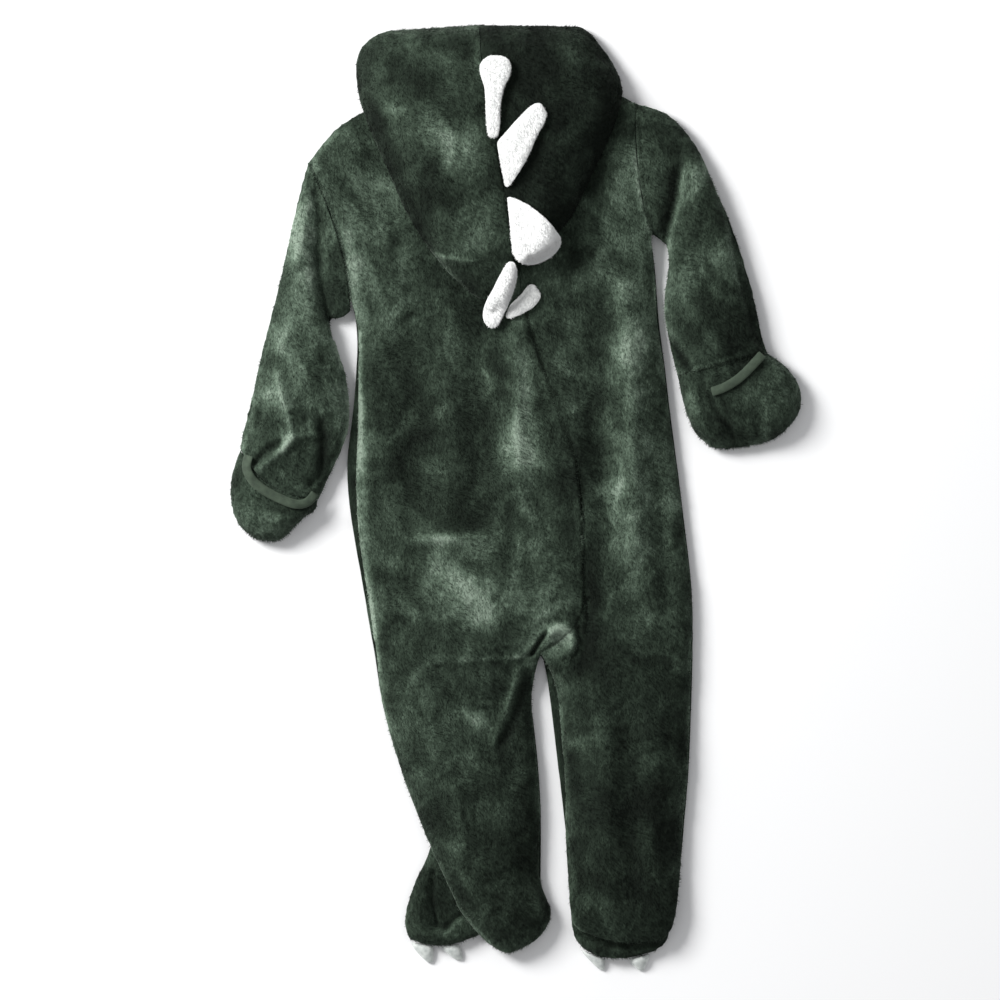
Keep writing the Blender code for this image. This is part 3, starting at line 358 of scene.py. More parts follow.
def dress(piece, creases, patches, level, clumpy=1.0, both_sides=False):
    """Presses the creases in, lifts the cloth in clumps and notes how light the nap is, with painted
    highlights and shade from the patches, painted light on ridges and painted shade in creases.
    """
    data = piece.data
    count = len(data.vertices)
    points = np.zeros(count * 3)
    normals = np.zeros(count * 3)
    data.vertices.foreach_get("co", points)
    data.vertex_normals.foreach_get("vector", normals)
    points, normals = points.reshape(-1, 3), normals.reshape(-1, 3)
    ground = points[:, :2].copy()
    upper = np.clip(normals[:, 2] / PRESSED_FROM, 0, 1) * (points[:, 2] > CLOTH_RISES)
    if both_sides:
        upper[:] = 1.0
    light = nap_with_painted_light(ground, level, patches)
    lift = pressed(ground, creases)
    standing = np.array([PILE_LIFT * noise.noise(Vector(point) / PILE_CLUMP) for point in points])
    free = np.clip((points[:, 2] - PILE_FREE_FROM) / PILE_FREE_OVER, 0, 1)
    points[:, 2] += lift * upper
    points += normals * (standing * clumpy * free)[:, None]
    points[:, 2] = np.maximum(points[:, 2], 0.0)
    data.vertices.foreach_set("co", points.ravel())
    shade = data.attributes.new("nap_and_painted_light", "FLOAT", "POINT")
    shade.data.foreach_set("value", (light + lift * RIDGE_PAINTED_LIGHT * upper).astype(np.float32))
    data.update()
    data.shade_smooth()
    return piece


def raise_pile(piece, seed, covers=(), seams=(), length=TUFT_LENGTH, spacing=TUFT_SPACING, width=TUFT_WIDTH,
               lit_from_above=0.0):
    """The pile as thousands of leaning tufts, rooted in what shows of the piece and closed over its seams."""
    chance = np.random.default_rng(seed)
    data = piece.data
    data.calc_loop_triangles()
    points = np.zeros(len(data.vertices) * 3)
    data.vertices.foreach_get("co", points)
    points = points.reshape(-1, 3)
    light = np.zeros(len(data.vertices))
    data.attributes["nap_and_painted_light"].data.foreach_get("value", light)
    corners = np.zeros(len(data.loop_triangles) * 3, int)
    data.loop_triangles.foreach_get("vertices", corners)
    corners = corners.reshape(-1, 3)
    a, b, c = (points[corners[:, k]] for k in range(3))
    facing = np.cross(b - a, c - a)
    area = np.linalg.norm(facing, axis=1) / 2
    facing /= np.maximum(2 * area, NO_AREA)[:, None]
    height = (a + b + c)[:, 2] / 3
    inside = (facing[:, 2] > TURNS_UP) & (height < CLOTH_RISES)
    shows = (facing[:, 2] > ROOTS_HANG) & ~inside & (height > PILE_FREE_FROM)
    close = np.ones(len(area))
    for seam in seams:
        near = distance_to_line((a + b + c)[:, :2] / 3, seam)[0] < SEAM_NEAR
        close[near] = SEAM_TUFTS
    share = np.cumsum(area * shows * close)
    count = int(share[-1] / spacing**2)
    picked = np.searchsorted(share, chance.random(count) * share[-1])
    u, v = chance.random(count), chance.random(count)
    over = u + v > 1
    u[over], v[over] = 1 - u[over], 1 - v[over]
    weights = np.stack([1 - u - v, u, v], axis=1)[:, :, None]
    roots = (points[corners[picked]] * weights).sum(axis=1)
    shade = (light[corners[picked]] * weights[:, :, 0]).sum(axis=1)
    rounded = np.zeros(len(data.vertices) * 3)
    data.vertex_normals.foreach_get("vector", rounded)
    normals = (rounded.reshape(-1, 3)[corners[picked]] * weights).sum(axis=1)
    normals /= np.linalg.norm(normals, axis=1)[:, None]
    trees = [
        BVHTree.FromPolygons(
            [vertex.co for vertex in cover.vertices], [face.vertices for face in cover.polygons]
        )
        for cover in covers
    ]
    above, upwards = Vector((0, 0, STEP_UP)), Vector((0, 0, 1))
    open_sky = np.array([
        not any(tree.ray_cast(Vector(root) + above, upwards)[0] for tree in trees) for root in roots
    ], bool)
    roots, shade, normals = roots[open_sky], shade[open_sky], normals[open_sky]
    count = len(roots)
    turns = NAP_TURNS * np.array([noise.noise(Vector(root) / NAP_TURN_OVER) * 2 for root in roots])
    lies = np.array([
        NAP_LIES[0] * np.cos(turns) - NAP_LIES[1] * np.sin(turns),
        NAP_LIES[0] * np.sin(turns) + NAP_LIES[1] * np.cos(turns), np.zeros(count),
    ]).T
    lies /= np.linalg.norm(lies, axis=1)[:, None]
    stands = normals * TUFT_UP + lies * TUFT_OVER + chance.normal(0, TUFT_WAYWARD, (count, 3))
    for seam in seams:
        here, right, up = (
            distance_to_line(roots[:, :2] + step, seam)[0]
            for step in ((0, 0), (STEP_ASIDE, 0), (0, STEP_ASIDE))
        )
        near = here < SEAM_NEAR
        stands[near, 0] += SEAM_LEAN * ((here - right) / STEP_ASIDE)[near]
        stands[near, 1] += SEAM_LEAN * ((here - up) / STEP_ASIDE)[near]
    stands /= np.linalg.norm(stands, axis=1)[:, None]
    aside = np.cross(stands, chance.normal(0, 1, (count, 3)))
    aside /= np.linalg.norm(aside, axis=1)[:, None]
    across = np.cross(stands, aside)
    lengths = length * chance.uniform(TUFT_SHORTEST, TUFT_LONGEST, count)[:, None]
    corners_of = np.zeros((count, 4, 3))
    for k in range(3):
        angle = 2 * math.pi * k / 3
        ring = (aside * math.cos(angle) + across * math.sin(angle)) * width / 2
        corners_of[:, k] = roots - stands * TUFT_SUNK + ring
    corners_of[:, 3] = roots + stands * lengths
    corners_of[:, :, 2] = np.maximum(corners_of[:, :, 2], 0.0)
    faces = np.array([(0, 1, 3), (1, 2, 3), (2, 0, 3), (0, 2, 1)])
    loops = (np.arange(count)[:, None, None] * 4 + faces[None]).reshape(-1, 3)
    tufts = bpy.data.meshes.new(piece.name.replace("cloth", "pile"))
    tufts.from_pydata(corners_of.reshape(-1, 3).tolist(), [], loops.tolist())
    shades = np.repeat(shade + chance.normal(0, TUFT_UNEVEN, count), 4).reshape(-1, 4)
    shades += np.array([ROOT_PAINTED_SHADE, ROOT_PAINTED_SHADE, ROOT_PAINTED_SHADE, TIP_PAINTED_LIGHT])
    tufts.attributes.new("nap_and_painted_light", "FLOAT", "POINT").data.foreach_set("value", shades.ravel().astype(np.float32))
    tufts.shade_smooth()
    normals = normals * (1 - lit_from_above) + np.array([0.0, 0.0, lit_from_above])
    own_lean = TUFT_ROUND * (1 - lit_from_above)
    soft = np.repeat(normals * (1 - own_lean) + stands * own_lean, 4, axis=0)
    soft /= np.linalg.norm(soft, axis=1)[:, None]
    tufts.normals_split_custom_set_from_vertices(soft.tolist())
    pile = placed(tufts.name, tufts)
    pile.data.materials.append(piece.data.materials[0])
    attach(pile, "root")
    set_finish(pile, piece["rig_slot"])
    return pile


def new_group(name, inputs, outputs):
    """An empty shader node group with its sockets, and what its inputs are when nothing feeds them."""
    group = bpy.data.node_groups.new(name, "ShaderNodeTree")
    for socket, kind, value in inputs:
        made = group.interface.new_socket(name=socket, in_out="INPUT", socket_type=kind)
        made.default_value = value
    for socket, kind in outputs:
        group.interface.new_socket(name=socket, in_out="OUTPUT", socket_type=kind)
    return group, group.nodes.new("NodeGroupInput"), group.nodes.new("NodeGroupOutput")


def math_node(nodes, links, operation, *values, clamp=False):
    """A Math node whose values are sockets or plain numbers."""
    node = nodes.new("ShaderNodeMath")
    node.operation = operation
    node.use_clamp = clamp
    for k, value in enumerate(values):
        if isinstance(value, (int, float)):
            node.inputs[k].default_value = value
        else:
            links.new(value, node.inputs[k])
    return node.outputs[0]


def noise_node(nodes, links, where, scale, detail, distortion=0.0):
    """A noise, from 0 to 1, over the places that a socket gives."""
    node = nodes.new("ShaderNodeTexNoise")
    node.inputs["Scale"].default_value = scale
    node.inputs["Detail"].default_value = detail
    node.inputs["Distortion"].default_value = distortion
    links.new(where, node.inputs["Vector"])
    return node.outputs["Fac"]


def bump_node(nodes, links, height, strength, distance):
    """The normals of a relief as high as a socket says."""
    node = nodes.new("ShaderNodeBump")
    node.inputs["Strength"].default_value = strength
    node.inputs["Distance"].default_value = distance
    links.new(height, node.inputs["Height"])
    return node.outputs["Normal"]


def ramp_node(nodes, links, lightness, stops):
    """The colour that belongs to a lightness, from stops of a place and a colour each."""
    node = nodes.new("ShaderNodeValToRGB")
    elements = node.color_ramp.elements
    for element, (place, colour) in zip(elements, (stops[0], stops[-1])):
        element.position, element.color = place, (*colour, 1.0)
    for place, colour in stops[1:-1]:
        elements.new(place).color = (*colour, 1.0)
    links.new(lightness, node.inputs["Fac"])
    return node.outputs["Color"]


# The pile: crushed patches, streaks where a hand brushed it, clumps of fibre and the fibres' own grain.
# First how many of each there are to a metre, then how much lighter or darker each makes it.
CRUSHED_SCALE, BRUSHED_SCALE, CLUMP_SCALE, FIBRE_SCALE = 26.0, 75.0, 420.0, 1100.0
CRUSHED_LIGHT, BRUSHED_LIGHT, CLUMP_LIGHT, FIBRE_LIGHT = 1.3, 0.6, 0.8, 0.9
CLUMP_HEIGHT, FIBRE_HEIGHT = 0.7, 0.3
NAP_TURN, NAP_DRAWN_OUT = math.radians(12), 0.45  # clumps and fibres lie along the nap

pile_group, pile_in, pile_out = new_group(
    "plush_pile",
    [
        ("Light", "NodeSocketFloat", 0.4), ("Patchy", "NodeSocketFloat", 0.5),
        ("Grainy", "NodeSocketFloat", 0.4),
    ],
    [("Light", "NodeSocketFloat"), ("Normal", "NodeSocketVector")],
)
pile_nodes, pile_links = pile_group.nodes, pile_group.links
pile_where = pile_nodes.new("ShaderNodeTexCoord").outputs["Object"]
nap_turned = pile_nodes.new("ShaderNodeMapping")
nap_turned.inputs["Rotation"].default_value = (0.0, 0.0, NAP_TURN)
nap_turned.inputs["Scale"].default_value = (1.0, NAP_DRAWN_OUT, 1.0)
pile_links.new(pile_where, nap_turned.inputs["Vector"])
nap_where = nap_turned.outputs["Vector"]
crushed = noise_node(pile_nodes, pile_links, pile_where, CRUSHED_SCALE, 3.0, 0.8)
brushed = noise_node(pile_nodes, pile_links, nap_where, BRUSHED_SCALE, 4.0, 0.6)
clumps = noise_node(pile_nodes, pile_links, nap_where, CLUMP_SCALE, 3.0, 0.3)
fibres = noise_node(pile_nodes, pile_links, nap_where, FIBRE_SCALE, 2.0)
crushed_light, brushed_light, clump_light, fibre_light = (
    math_node(pile_nodes, pile_links, "MULTIPLY_ADD", pattern, amount, -amount / 2)
    for pattern, amount in (
        (crushed, CRUSHED_LIGHT), (brushed, BRUSHED_LIGHT), (clumps, CLUMP_LIGHT), (fibres, FIBRE_LIGHT)
    )
)
patchy = math_node(
    pile_nodes, pile_links, "MULTIPLY",
    math_node(pile_nodes, pile_links, "ADD", crushed_light, brushed_light), pile_in.outputs["Patchy"],
)
grain = math_node(
    pile_nodes, pile_links, "MULTIPLY",
    math_node(pile_nodes, pile_links, "ADD", clump_light, fibre_light), pile_in.outputs["Grainy"],
)
pile_light = math_node(
    pile_nodes, pile_links, "ADD",
    math_node(pile_nodes, pile_links, "ADD", pile_in.outputs["Light"], patchy), grain, clamp=True,
)
pile_height = math_node(
    pile_nodes, pile_links, "ADD", math_node(pile_nodes, pile_links, "MULTIPLY", clumps, CLUMP_HEIGHT),
    math_node(pile_nodes, pile_links, "MULTIPLY", fibres, FIBRE_HEIGHT),
)
pile_links.new(pile_light, pile_out.inputs["Light"])
pile_links.new(bump_node(pile_nodes, pile_links, pile_height, 0.7, 0.0016), pile_out.inputs["Normal"])

PLUSH_ROUGH, PLUSH_GLOSS, SHEEN_ROUGH = 0.92, 0.15, 0.45


def plush(name, ramp, patchy, grainy, sheen, sheen_tint):
    """A plush whose colour and sheen run from the darkest to the lightest of the nap and its painted light
    and shade.
    """
    material, shader, nodes, links = new_material(name, PLUSH_ROUGH)
    shader.inputs["Specular IOR Level"].default_value = PLUSH_GLOSS
    shader.inputs["Sheen Roughness"].default_value = SHEEN_ROUGH
    shader.inputs["Sheen Tint"].default_value = (*sheen_tint, 1.0)
    nap_and_painted_light = nodes.new("ShaderNodeAttribute")
    nap_and_painted_light.attribute_name = "nap_and_painted_light"
    pile = nodes.new("ShaderNodeGroup")
    pile.node_tree = pile_group
    pile.inputs["Patchy"].default_value = patchy
    pile.inputs["Grainy"].default_value = grainy
    links.new(nap_and_painted_light.outputs["Fac"], pile.inputs["Light"])
    light = pile.outputs["Light"]
    links.new(math_node(nodes, links, "MULTIPLY", light, sheen), shader.inputs["Sheen Weight"])
    links.new(ramp_node(nodes, links, light, ramp), shader.inputs["Base Color"])
    links.new(pile.outputs["Normal"], shader.inputs["Normal"])
    return material


GREEN_RAMP = [
    (0.0, (0.0040, 0.0068, 0.0042)), (0.3, (0.0115, 0.0185, 0.0120)), (0.55, (0.031, 0.047, 0.032)),
    (0.8, (0.088, 0.124, 0.090)), (1.0, (0.20, 0.255, 0.20)),
]
green_plush = plush("green_plush", GREEN_RAMP, 0.85, 0.55, 0.46, (0.56, 0.70, 0.56))


def lay(piece, material, slot, *nodes):
    """The piece takes its material and stands for its nodes in the frame."""
    piece.data.materials.clear()
    piece.data.materials.append(material)
    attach(piece, "root")
    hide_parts(*nodes)
    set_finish(piece, slot)


CENTRE_SEAM = [
    (522, 297), (531, 330), (540, 360), (550, 390), (561, 420), (572, 450), (577, 464), (579, 480),
    (581, 500), (582, 520), (583, 572), (584, 590), (584, 605), (581, 615), (576, 625), (571, 632),
    (560, 640), (541, 652),
]
LEFT_ARMHOLE = [(309, 165), (322, 190), (333, 214), (341, 243), (347, 272), (350, 298)]
RIGHT_ARMHOLE = [(636, 105), (638, 140), (641, 175), (645, 207), (651, 234)]
BACK_SEAMS = [CENTRE_SEAM, LEFT_ARMHOLE, RIGHT_ARMHOLE]
hood_covers = [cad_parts[node].data for node in ("hood_left", "hood_right", "spike_4", "spike_5")]
# Left pieces take the slot named for the lit side and right pieces the one for the shaded side: lit and
# shaded copies of one plush
for side, slot, flat, cut_area, seed in (
    ("left", "plush_light", (0.26, 0.77), 0.122, 1), ("right", "plush_dark", (0.19, 0.77), 0.089, 2)
):
    back = dress(cloth_of(f"back_{side}"), BACK_CREASES, BACK_PATCHES + BACK_PAINTED_STREAKS, 0.46)
    lay(back, green_plush, slot, f"back_{side}")
    pile = raise_pile(back, seed, hood_covers, BACK_SEAMS)

# Front: the same plush in two halves, hidden but for its edges, flat on the surface but for a few creases.
# They meet at a zip, whose tape is sewn in under them and whose coil runs down the middle.
FRONT_CREASES = [
    Crease([(396, 255), (418, 350), (408, 455)], -1.6, 7, 0),
    Crease([(462, 420), (448, 520), (462, 590)], -1.2, 6, 0),
    Crease([(562, 250), (588, 340), (578, 430)], -1.5, 7, 0),
    Crease([(628, 390), (616, 480), (634, 560)], -1.2, 6, 0),
    Crease([(420, 612), (455, 630), (496, 636)], -1.3, 5, 0),
    Crease([(566, 634), (610, 620), (648, 588)], -1.4, 5, 0),
    Crease([(440, 712), (462, 760), (470, 800)], -1.1, 6, 0),
    Crease([(622, 712), (612, 770), (620, 830)], -1.1, 6, 0),
]
for side, slot, flat, cut_area in (
    ("left", "plush_light", (0.22, 0.70), 0.093), ("right", "plush_dark", (0.175, 0.73), 0.096)
):
    front = dress(cloth_of(f"front_{side}", 2, 0), FRONT_CREASES, (), 0.26, 0.4, True)
    lay(front, green_plush, slot, f"front_{side}")

zip_cloth = cloth_of("zip_tape", 1, 0)
TAPE_LOW, TAPE_THICK = 0.0016, 0.0009
COIL_PITCH, COIL_REACH, COIL_RADIUS, COIL_SLANT, COIL_HEIGHT = 0.0015, 0.0021, 0.00048, 0.0005, 0.0011
COIL_CROSSES = 0.35  # the share of its reach by which a loop crosses the middle
tape_points = [vertex.co for vertex in zip_cloth.data.vertices]
tape_top = max(point.z for point in tape_points)
tape_middle = (max(point.x for point in tape_points) + min(point.x for point in tape_points)) / 2
tape_start, tape_end = min(point.y for point in tape_points), max(point.y for point in tape_points)
for vertex in zip_cloth.data.vertices:
    vertex.co.z = TAPE_LOW + TAPE_THICK * vertex.co.z / tape_top
coil_mesh = bmesh.new()
for k in range(int((tape_end - tape_start) / COIL_PITCH) - 2):
    side = 1 if k % 2 else -1
    along = tape_start + (k + 1.5) * COIL_PITCH
    loop_start = Vector((tape_middle - side * COIL_REACH * COIL_CROSSES, along, COIL_HEIGHT))
    loop_end = loop_start + Vector((side * COIL_REACH, side * COIL_SLANT, 0))
    made = bmesh.ops.create_cone(
        coil_mesh, cap_ends=True, segments=6, radius1=COIL_RADIUS, radius2=COIL_RADIUS,
        depth=(loop_end - loop_start).length,
    )
    turned = (loop_end - loop_start).to_track_quat("Z", "Y").to_matrix().to_4x4()
    turned.translation = (loop_start + loop_end) / 2
    bmesh.ops.transform(coil_mesh, matrix=turned, verts=made["verts"])
coil_data = bpy.data.meshes.new("zip_coil")
coil_mesh.to_mesh(coil_data)
coil_mesh.free()
coil_data.shade_smooth()
zip_coil = placed("zip_coil", coil_data)
coil_nylon, coil_shader, _, _ = new_material("coil_nylon", 0.35)
coil_shader.inputs["Base Color"].default_value = (0.022, 0.032, 0.023, 1.0)
coil_data.materials.append(coil_nylon)
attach(zip_coil, "root")
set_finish(zip_coil, "zip_nylon")
zip_woven, zip_shader, zip_nodes, zip_links = new_material("zip_tape_woven", 0.7)
zip_shader.inputs["Base Color"].default_value = (0.03, 0.042, 0.031, 1.0)
herringbone = zip_nodes.new("ShaderNodeTexWave")
herringbone.bands_direction = "DIAGONAL"
herringbone.inputs["Scale"].default_value = 420.0
zip_links.new(zip_nodes.new("ShaderNodeTexCoord").outputs["Object"], herringbone.inputs["Vector"])
zip_relief = bump_node(zip_nodes, zip_links, herringbone.outputs["Fac"], 0.5, 0.0003)
zip_links.new(zip_relief, zip_shader.inputs["Normal"])
lay(zip_cloth, zip_woven, "zip_nylon", "zip_tape")

# Sleeves: plush tubes pressed flat, set into the armholes, with the folds where they were laid down.
LEFT_SLEEVE_CREASES = [
    Crease([(316, 192), (320, 220), (317, 250), (319, 285), (328, 318)], 3.2, 4.0, -2.0),
    Crease([(300, 192), (296, 208), (302, 222)], 1.6, 4.0, 0),
    Crease([(292, 226), (300, 244), (297, 262)], -1.4, 5.0, 0),
    Crease([(278, 376), (286, 408), (293, 438)], -2.4, 4.5, 0),
    Crease([(262, 404), (256, 445)], 1.4, 3, 0),
    Crease([(322, 422), (325, 446), (321, 472), (312, 484)], 3.8, 4, 1.0),
    Crease([(258, 470), (272, 457), (284, 449), (293, 439)], -3.2, 3.5, -1.6),
    Crease([(256, 462), (266, 452), (280, 442)], 2.6, 3.5, 0),
    Crease([(293, 439), (305, 436), (317, 434)], -1.6, 4, 0),
    Crease([(252, 402), (249, 430), (250, 455)], 1.8, 2.5, 1.2),
    Crease([(330, 240), (345, 300), (352, 318)], 1.2, 5, 0),
    Crease([(300, 300), (270, 340), (262, 372)], 0.9, 8, 0),
    Crease([(316, 340), (300, 390)], -1.0, 8, 0),
]
RIGHT_SLEEVE_CREASES = [
    Crease([(680, 168), (675, 201), (667, 231), (663, 262)], 3.4, 4.5, 2.4),
    Crease([(728, 222), (736, 268), (749, 318), (757, 340)], 2.2, 3, -2.2),
    Crease([(667, 334), (680, 352), (692, 373)], 2.6, 3.0, 1.6),
    Crease([(650, 140), (668, 152), (690, 150)], 1.2, 6, 0),
    Crease([(690, 250), (705, 300), (730, 340)], 0.9, 9, 0),
    Crease([(708, 180), (724, 240), (736, 300)], -1.2, 8, 0),
    Crease([(674, 380), (690, 372), (706, 372)], -1.6, 5, 0),
    Crease([(694, 318), (716, 350)], -1.0, 7, 0),
]
# The sleeves' nap; its streaks paint highlights on the lit edges of folds and painted shade in their valleys
# and the underarm
SLEEVE_PATCHES = [
    Patch(318, 232, 60, 28, 10, 0.26), Patch(296, 300, 34, 20, 0, 0.10), Patch(285, 440, 14, 10, 20, 0.30),
    Patch(322, 440, 40, 8, 0, -0.20), Patch(268, 380, 60, 12, 10, 0.10), Patch(250, 410, 40, 5, 8, 0.16),
    Patch(345, 400, 60, 8, 0, 0.08), Patch(336, 280, 36, 9, 0, -0.22), Patch(300, 360, 30, 20, 0, -0.08),
    Patch(700, 200, 40, 16, -20, 0.16), Patch(672, 190, 28, 12, 0, -0.22), Patch(668, 300, 60, 6, 0, 0.18),
    Patch(730, 330, 30, 18, 0, -0.14), Patch(722, 270, 40, 12, -14, -0.06), Patch(690, 340, 20, 12, 0, -0.10),
    Patch(745, 290, 50, 5, -14, 0.12), Patch(700, 300, 60, 40, 0, 0.04), Patch(290, 380, 50, 30, 0, 0.08),
    Streak([(334, 340), (345, 372), (350, 396), (350, 424), (346, 441)], 4, 0.24),
    Streak([(662, 300), (665, 326), (671, 357), (681, 383), (682, 398), (690, 429)], 3, 0.22),
    Streak([(310, 200), (302, 230), (296, 260)], 5, 0.16),
    Streak([(262, 470), (284, 450), (291, 442)], 3, 0.22),
    Streak([(325, 345), (316, 400), (318, 430)], 5, -0.06), Patch(326, 446, 26, 6, 6, -0.30),
    Streak([(352, 424), (347, 441), (338, 458), (329, 470)], 3, 0.22), Patch(316, 395, 40, 22, 0, 0.10),
    Streak([(278, 378), (286, 410), (293, 437)], 3, 0.16),
    Streak([(255, 460), (266, 450), (278, 444)], 4, -0.24),
    Streak([(320, 200), (323, 225), (321, 255), (324, 288), (332, 318)], 5, -0.20),
    Streak([(683, 172), (679, 201), (671, 231), (667, 262)], 3, 0.24),
    Streak([(675, 170), (670, 200), (662, 228)], 5, -0.28),
    Streak([(725, 224), (733, 270), (745, 318)], 2.5, 0.16),
    Streak([(734, 224), (743, 272), (755, 318)], 4, -0.20),
    Streak([(666, 336), (678, 354), (690, 374)], 3, -0.24),
    Streak([(672, 332), (686, 352), (698, 372)], 3, 0.14), Patch(300, 300, 60, 16, 10, 0.08),
    Streak([(682, 372), (700, 367), (728, 359), (754, 347)], 2, 0.16),
    Patch(676, 120, 26, 24, 0, 0.10), Patch(288, 250, 24, 10, 10, 0.12), Patch(312, 280, 30, 10, 0, 0.12),
    Patch(300, 215, 20, 14, 0, 0.14), Patch(278, 340, 20, 10, 20, 0.12), Patch(704, 172, 18, 16, -30, 0.18),
    Patch(712, 260, 26, 8, -10, 0.14), Patch(696, 300, 20, 8, 0, -0.12), Patch(740, 350, 10, 16, 0, -0.10),
]
RIGHT_CUFF_SEAM = [(679, 374), (700, 369), (728, 363), (752, 357), (764, 351)]
SLEEVE_SEAMS = [LEFT_ARMHOLE, RIGHT_ARMHOLE, RIGHT_CUFF_SEAM]
UNDERARM = (343, 300)  # the left one hangs down beside the body
UNDERARM_DROP, UNDERARM_REACH = 0.014, 0.016
# The right sleeve's lower level is painted shade, on the side away from the light
for side, slot, creases, level, flat, cut_area, seed in (
    ("left", "plush_light", LEFT_SLEEVE_CREASES, 0.50, (0.21, 0.31), 0.038, 3),
    ("right", "plush_dark", RIGHT_SLEEVE_CREASES, 0.43, (0.20, 0.25), 0.034, 4),
):
    sleeve = cloth_of(f"sleeve_{side}")
    if side == "left":
        for vertex in sleeve.data.vertices:
            away = math.dist(vertex.co.xy, spot(*UNDERARM)) / UNDERARM_REACH
            vertex.co.y -= UNDERARM_DROP * math.exp(-(away**2))
        sleeve.data.update()
    dress(sleeve, creases, SLEEVE_PATCHES, level)
    lay(sleeve, green_plush, slot, f"sleeve_{side}")
    pile = raise_pile(sleeve, seed, [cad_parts[f"binding_{side}"].data], SLEEVE_SEAMS)

# Fold-over mittens: plush bags sewn to the cuffs and turned over the ends of the sleeves.
MITTEN_CREASES = [
    Crease([(709, 396), (714, 408), (721, 418), (730, 428)], 2.4, 2.8, 1.2),
    Crease([(684, 400), (694, 424), (708, 440)], -1.6, 6, 0),
    Crease([(700, 392), (704, 412), (712, 428)], 1.2, 4, 0),
    Crease([(700, 436), (716, 445), (736, 446)], 1.2, 3, 0),
    Crease([(770, 380), (780, 400), (776, 420)], -1.0, 8, 0),
    Crease([(240, 500), (262, 516), (290, 520)], -1.2, 7, 0),
    Crease([(250, 486), (262, 500), (286, 512)], 1.2, 4, 0),
]
# The mittens' nap; its streaks paint highlights on lit fold edges and painted shade in the crease of the fold
MITTEN_PATCHES = [
    Patch(745, 400, 26, 26, 0, 0.06), Patch(704, 424, 22, 10, -20, 0.24), Patch(780, 372, 16, 14, 0, 0.10),
    Streak([(709, 398), (714, 408), (721, 418), (730, 428)], 3, -0.16), Patch(712, 446, 5, 14, 0, 0.20),
    Streak([(682, 374), (700, 369), (728, 361), (754, 349)], 2, 0.16), Patch(765, 385, 22, 20, 0, 0.06),
    Streak([(714, 400), (722, 416), (731, 429)], 3, 0.16),
    Streak([(727, 441), (756, 441), (779, 424)], 4, 0.18),
    Patch(692, 402, 20, 8, -10, 0.10), Patch(262, 492, 14, 20, -30, 0.12), Patch(268, 531, 4, 14, 0, 0.22),
    Patch(262, 522, 12, 30, 0, 0.12), Patch(240, 500, 20, 8, 0, -0.10), Patch(720, 446, 5, 20, 0, 0.16),
]
# The right mitten's lower level is painted shade, on the side away from the light
for side, slot, level, flat, cut_area, seed in (
    ("left", "plush_light", 0.40, (0.16, 0.085), 0.008, 5),
    ("right", "plush_dark", 0.38, (0.20, 0.11), 0.0157, 6),
):
    mitten = dress(cloth_of(f"mitten_{side}"), MITTEN_CREASES, MITTEN_PATCHES, level)
    lay(mitten, green_plush, slot, f"mitten_{side}")
    pile = raise_pile(mitten, seed, [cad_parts[f"binding_{side}"].data], [RIGHT_CUFF_SEAM])

# Bindings: a rib-knit strip folded over the mouth of each mitten, smooth beside the plush.
RIB_RAMP = [(0.3, (0.025, 0.037, 0.025)), (0.7, (0.056, 0.079, 0.053))]
rib_knit, rib_shader, rib_nodes, rib_links = new_material("rib_knit", 0.8)
rib_shader.inputs["Specular IOR Level"].default_value = 0.25
rib_shader.inputs["Sheen Weight"].default_value = 0.15
rib_shader.inputs["Sheen Tint"].default_value = (0.6, 0.7, 0.55, 1.0)
rib_where = rib_nodes.new("ShaderNodeTexCoord").outputs["Object"]
rib_worn = noise_node(rib_nodes, rib_links, rib_where, 160.0, 3.0)
rib_grain = noise_node(rib_nodes, rib_links, rib_where, 1500.0, 2.0)
rib_mix = math_node(
    rib_nodes, rib_links, "ADD", math_node(rib_nodes, rib_links, "MULTIPLY", rib_worn, 0.7),
    math_node(rib_nodes, rib_links, "MULTIPLY", rib_grain, 0.3),
)
rib_links.new(ramp_node(rib_nodes, rib_links, rib_mix, RIB_RAMP), rib_shader.inputs["Base Color"])
rib_links.new(bump_node(rib_nodes, rib_links, rib_grain, 0.5, 0.0004), rib_shader.inputs["Normal"])
for side, flat, cut_area in (("left", (0.018, 0.105), 0.001), ("right", (0.018, 0.065), 0.0007)):
    binding = cloth_of(f"binding_{side}", 2, 1, 0.2)
    binding.data.shade_smooth()
    lay(binding, rib_knit, "rib_binding", f"binding_{side}")

# Hood: two halves joined along the seam that carries the spikes, turned down over the back.
# Its left half leans to the light and its right half away from it.
HOOD_CREASES = [
    Crease([(424, 250), (445, 259), (466, 263), (482, 262)], -1.6, 2.5, 1.0),
    Crease([(452, 277), (466, 295), (483, 306)], -1.6, 2.0, 0),
    Crease([(430, 262), (450, 285), (470, 300)], 1.4, 5, 0),
    Crease([(372, 80), (390, 110), (400, 150)], 1.2, 7, 0),
    Crease([(395, 115), (430, 128), (470, 150)], -1.6, 10, 0),
    Crease([(470, 50), (480, 90), (486, 130)], 1.0, 6, 0),
    Crease([(545, 60), (570, 100), (588, 140)], 1.0, 10, 0),
    Crease([(380, 45), (420, 52), (470, 46)], 1.0, 5, 0),
    Crease([(500, 38), (560, 42), (600, 60)], 1.0, 5, 0),
    Crease([(410, 200), (450, 215), (490, 240)], 0.8, 12, 0),
]
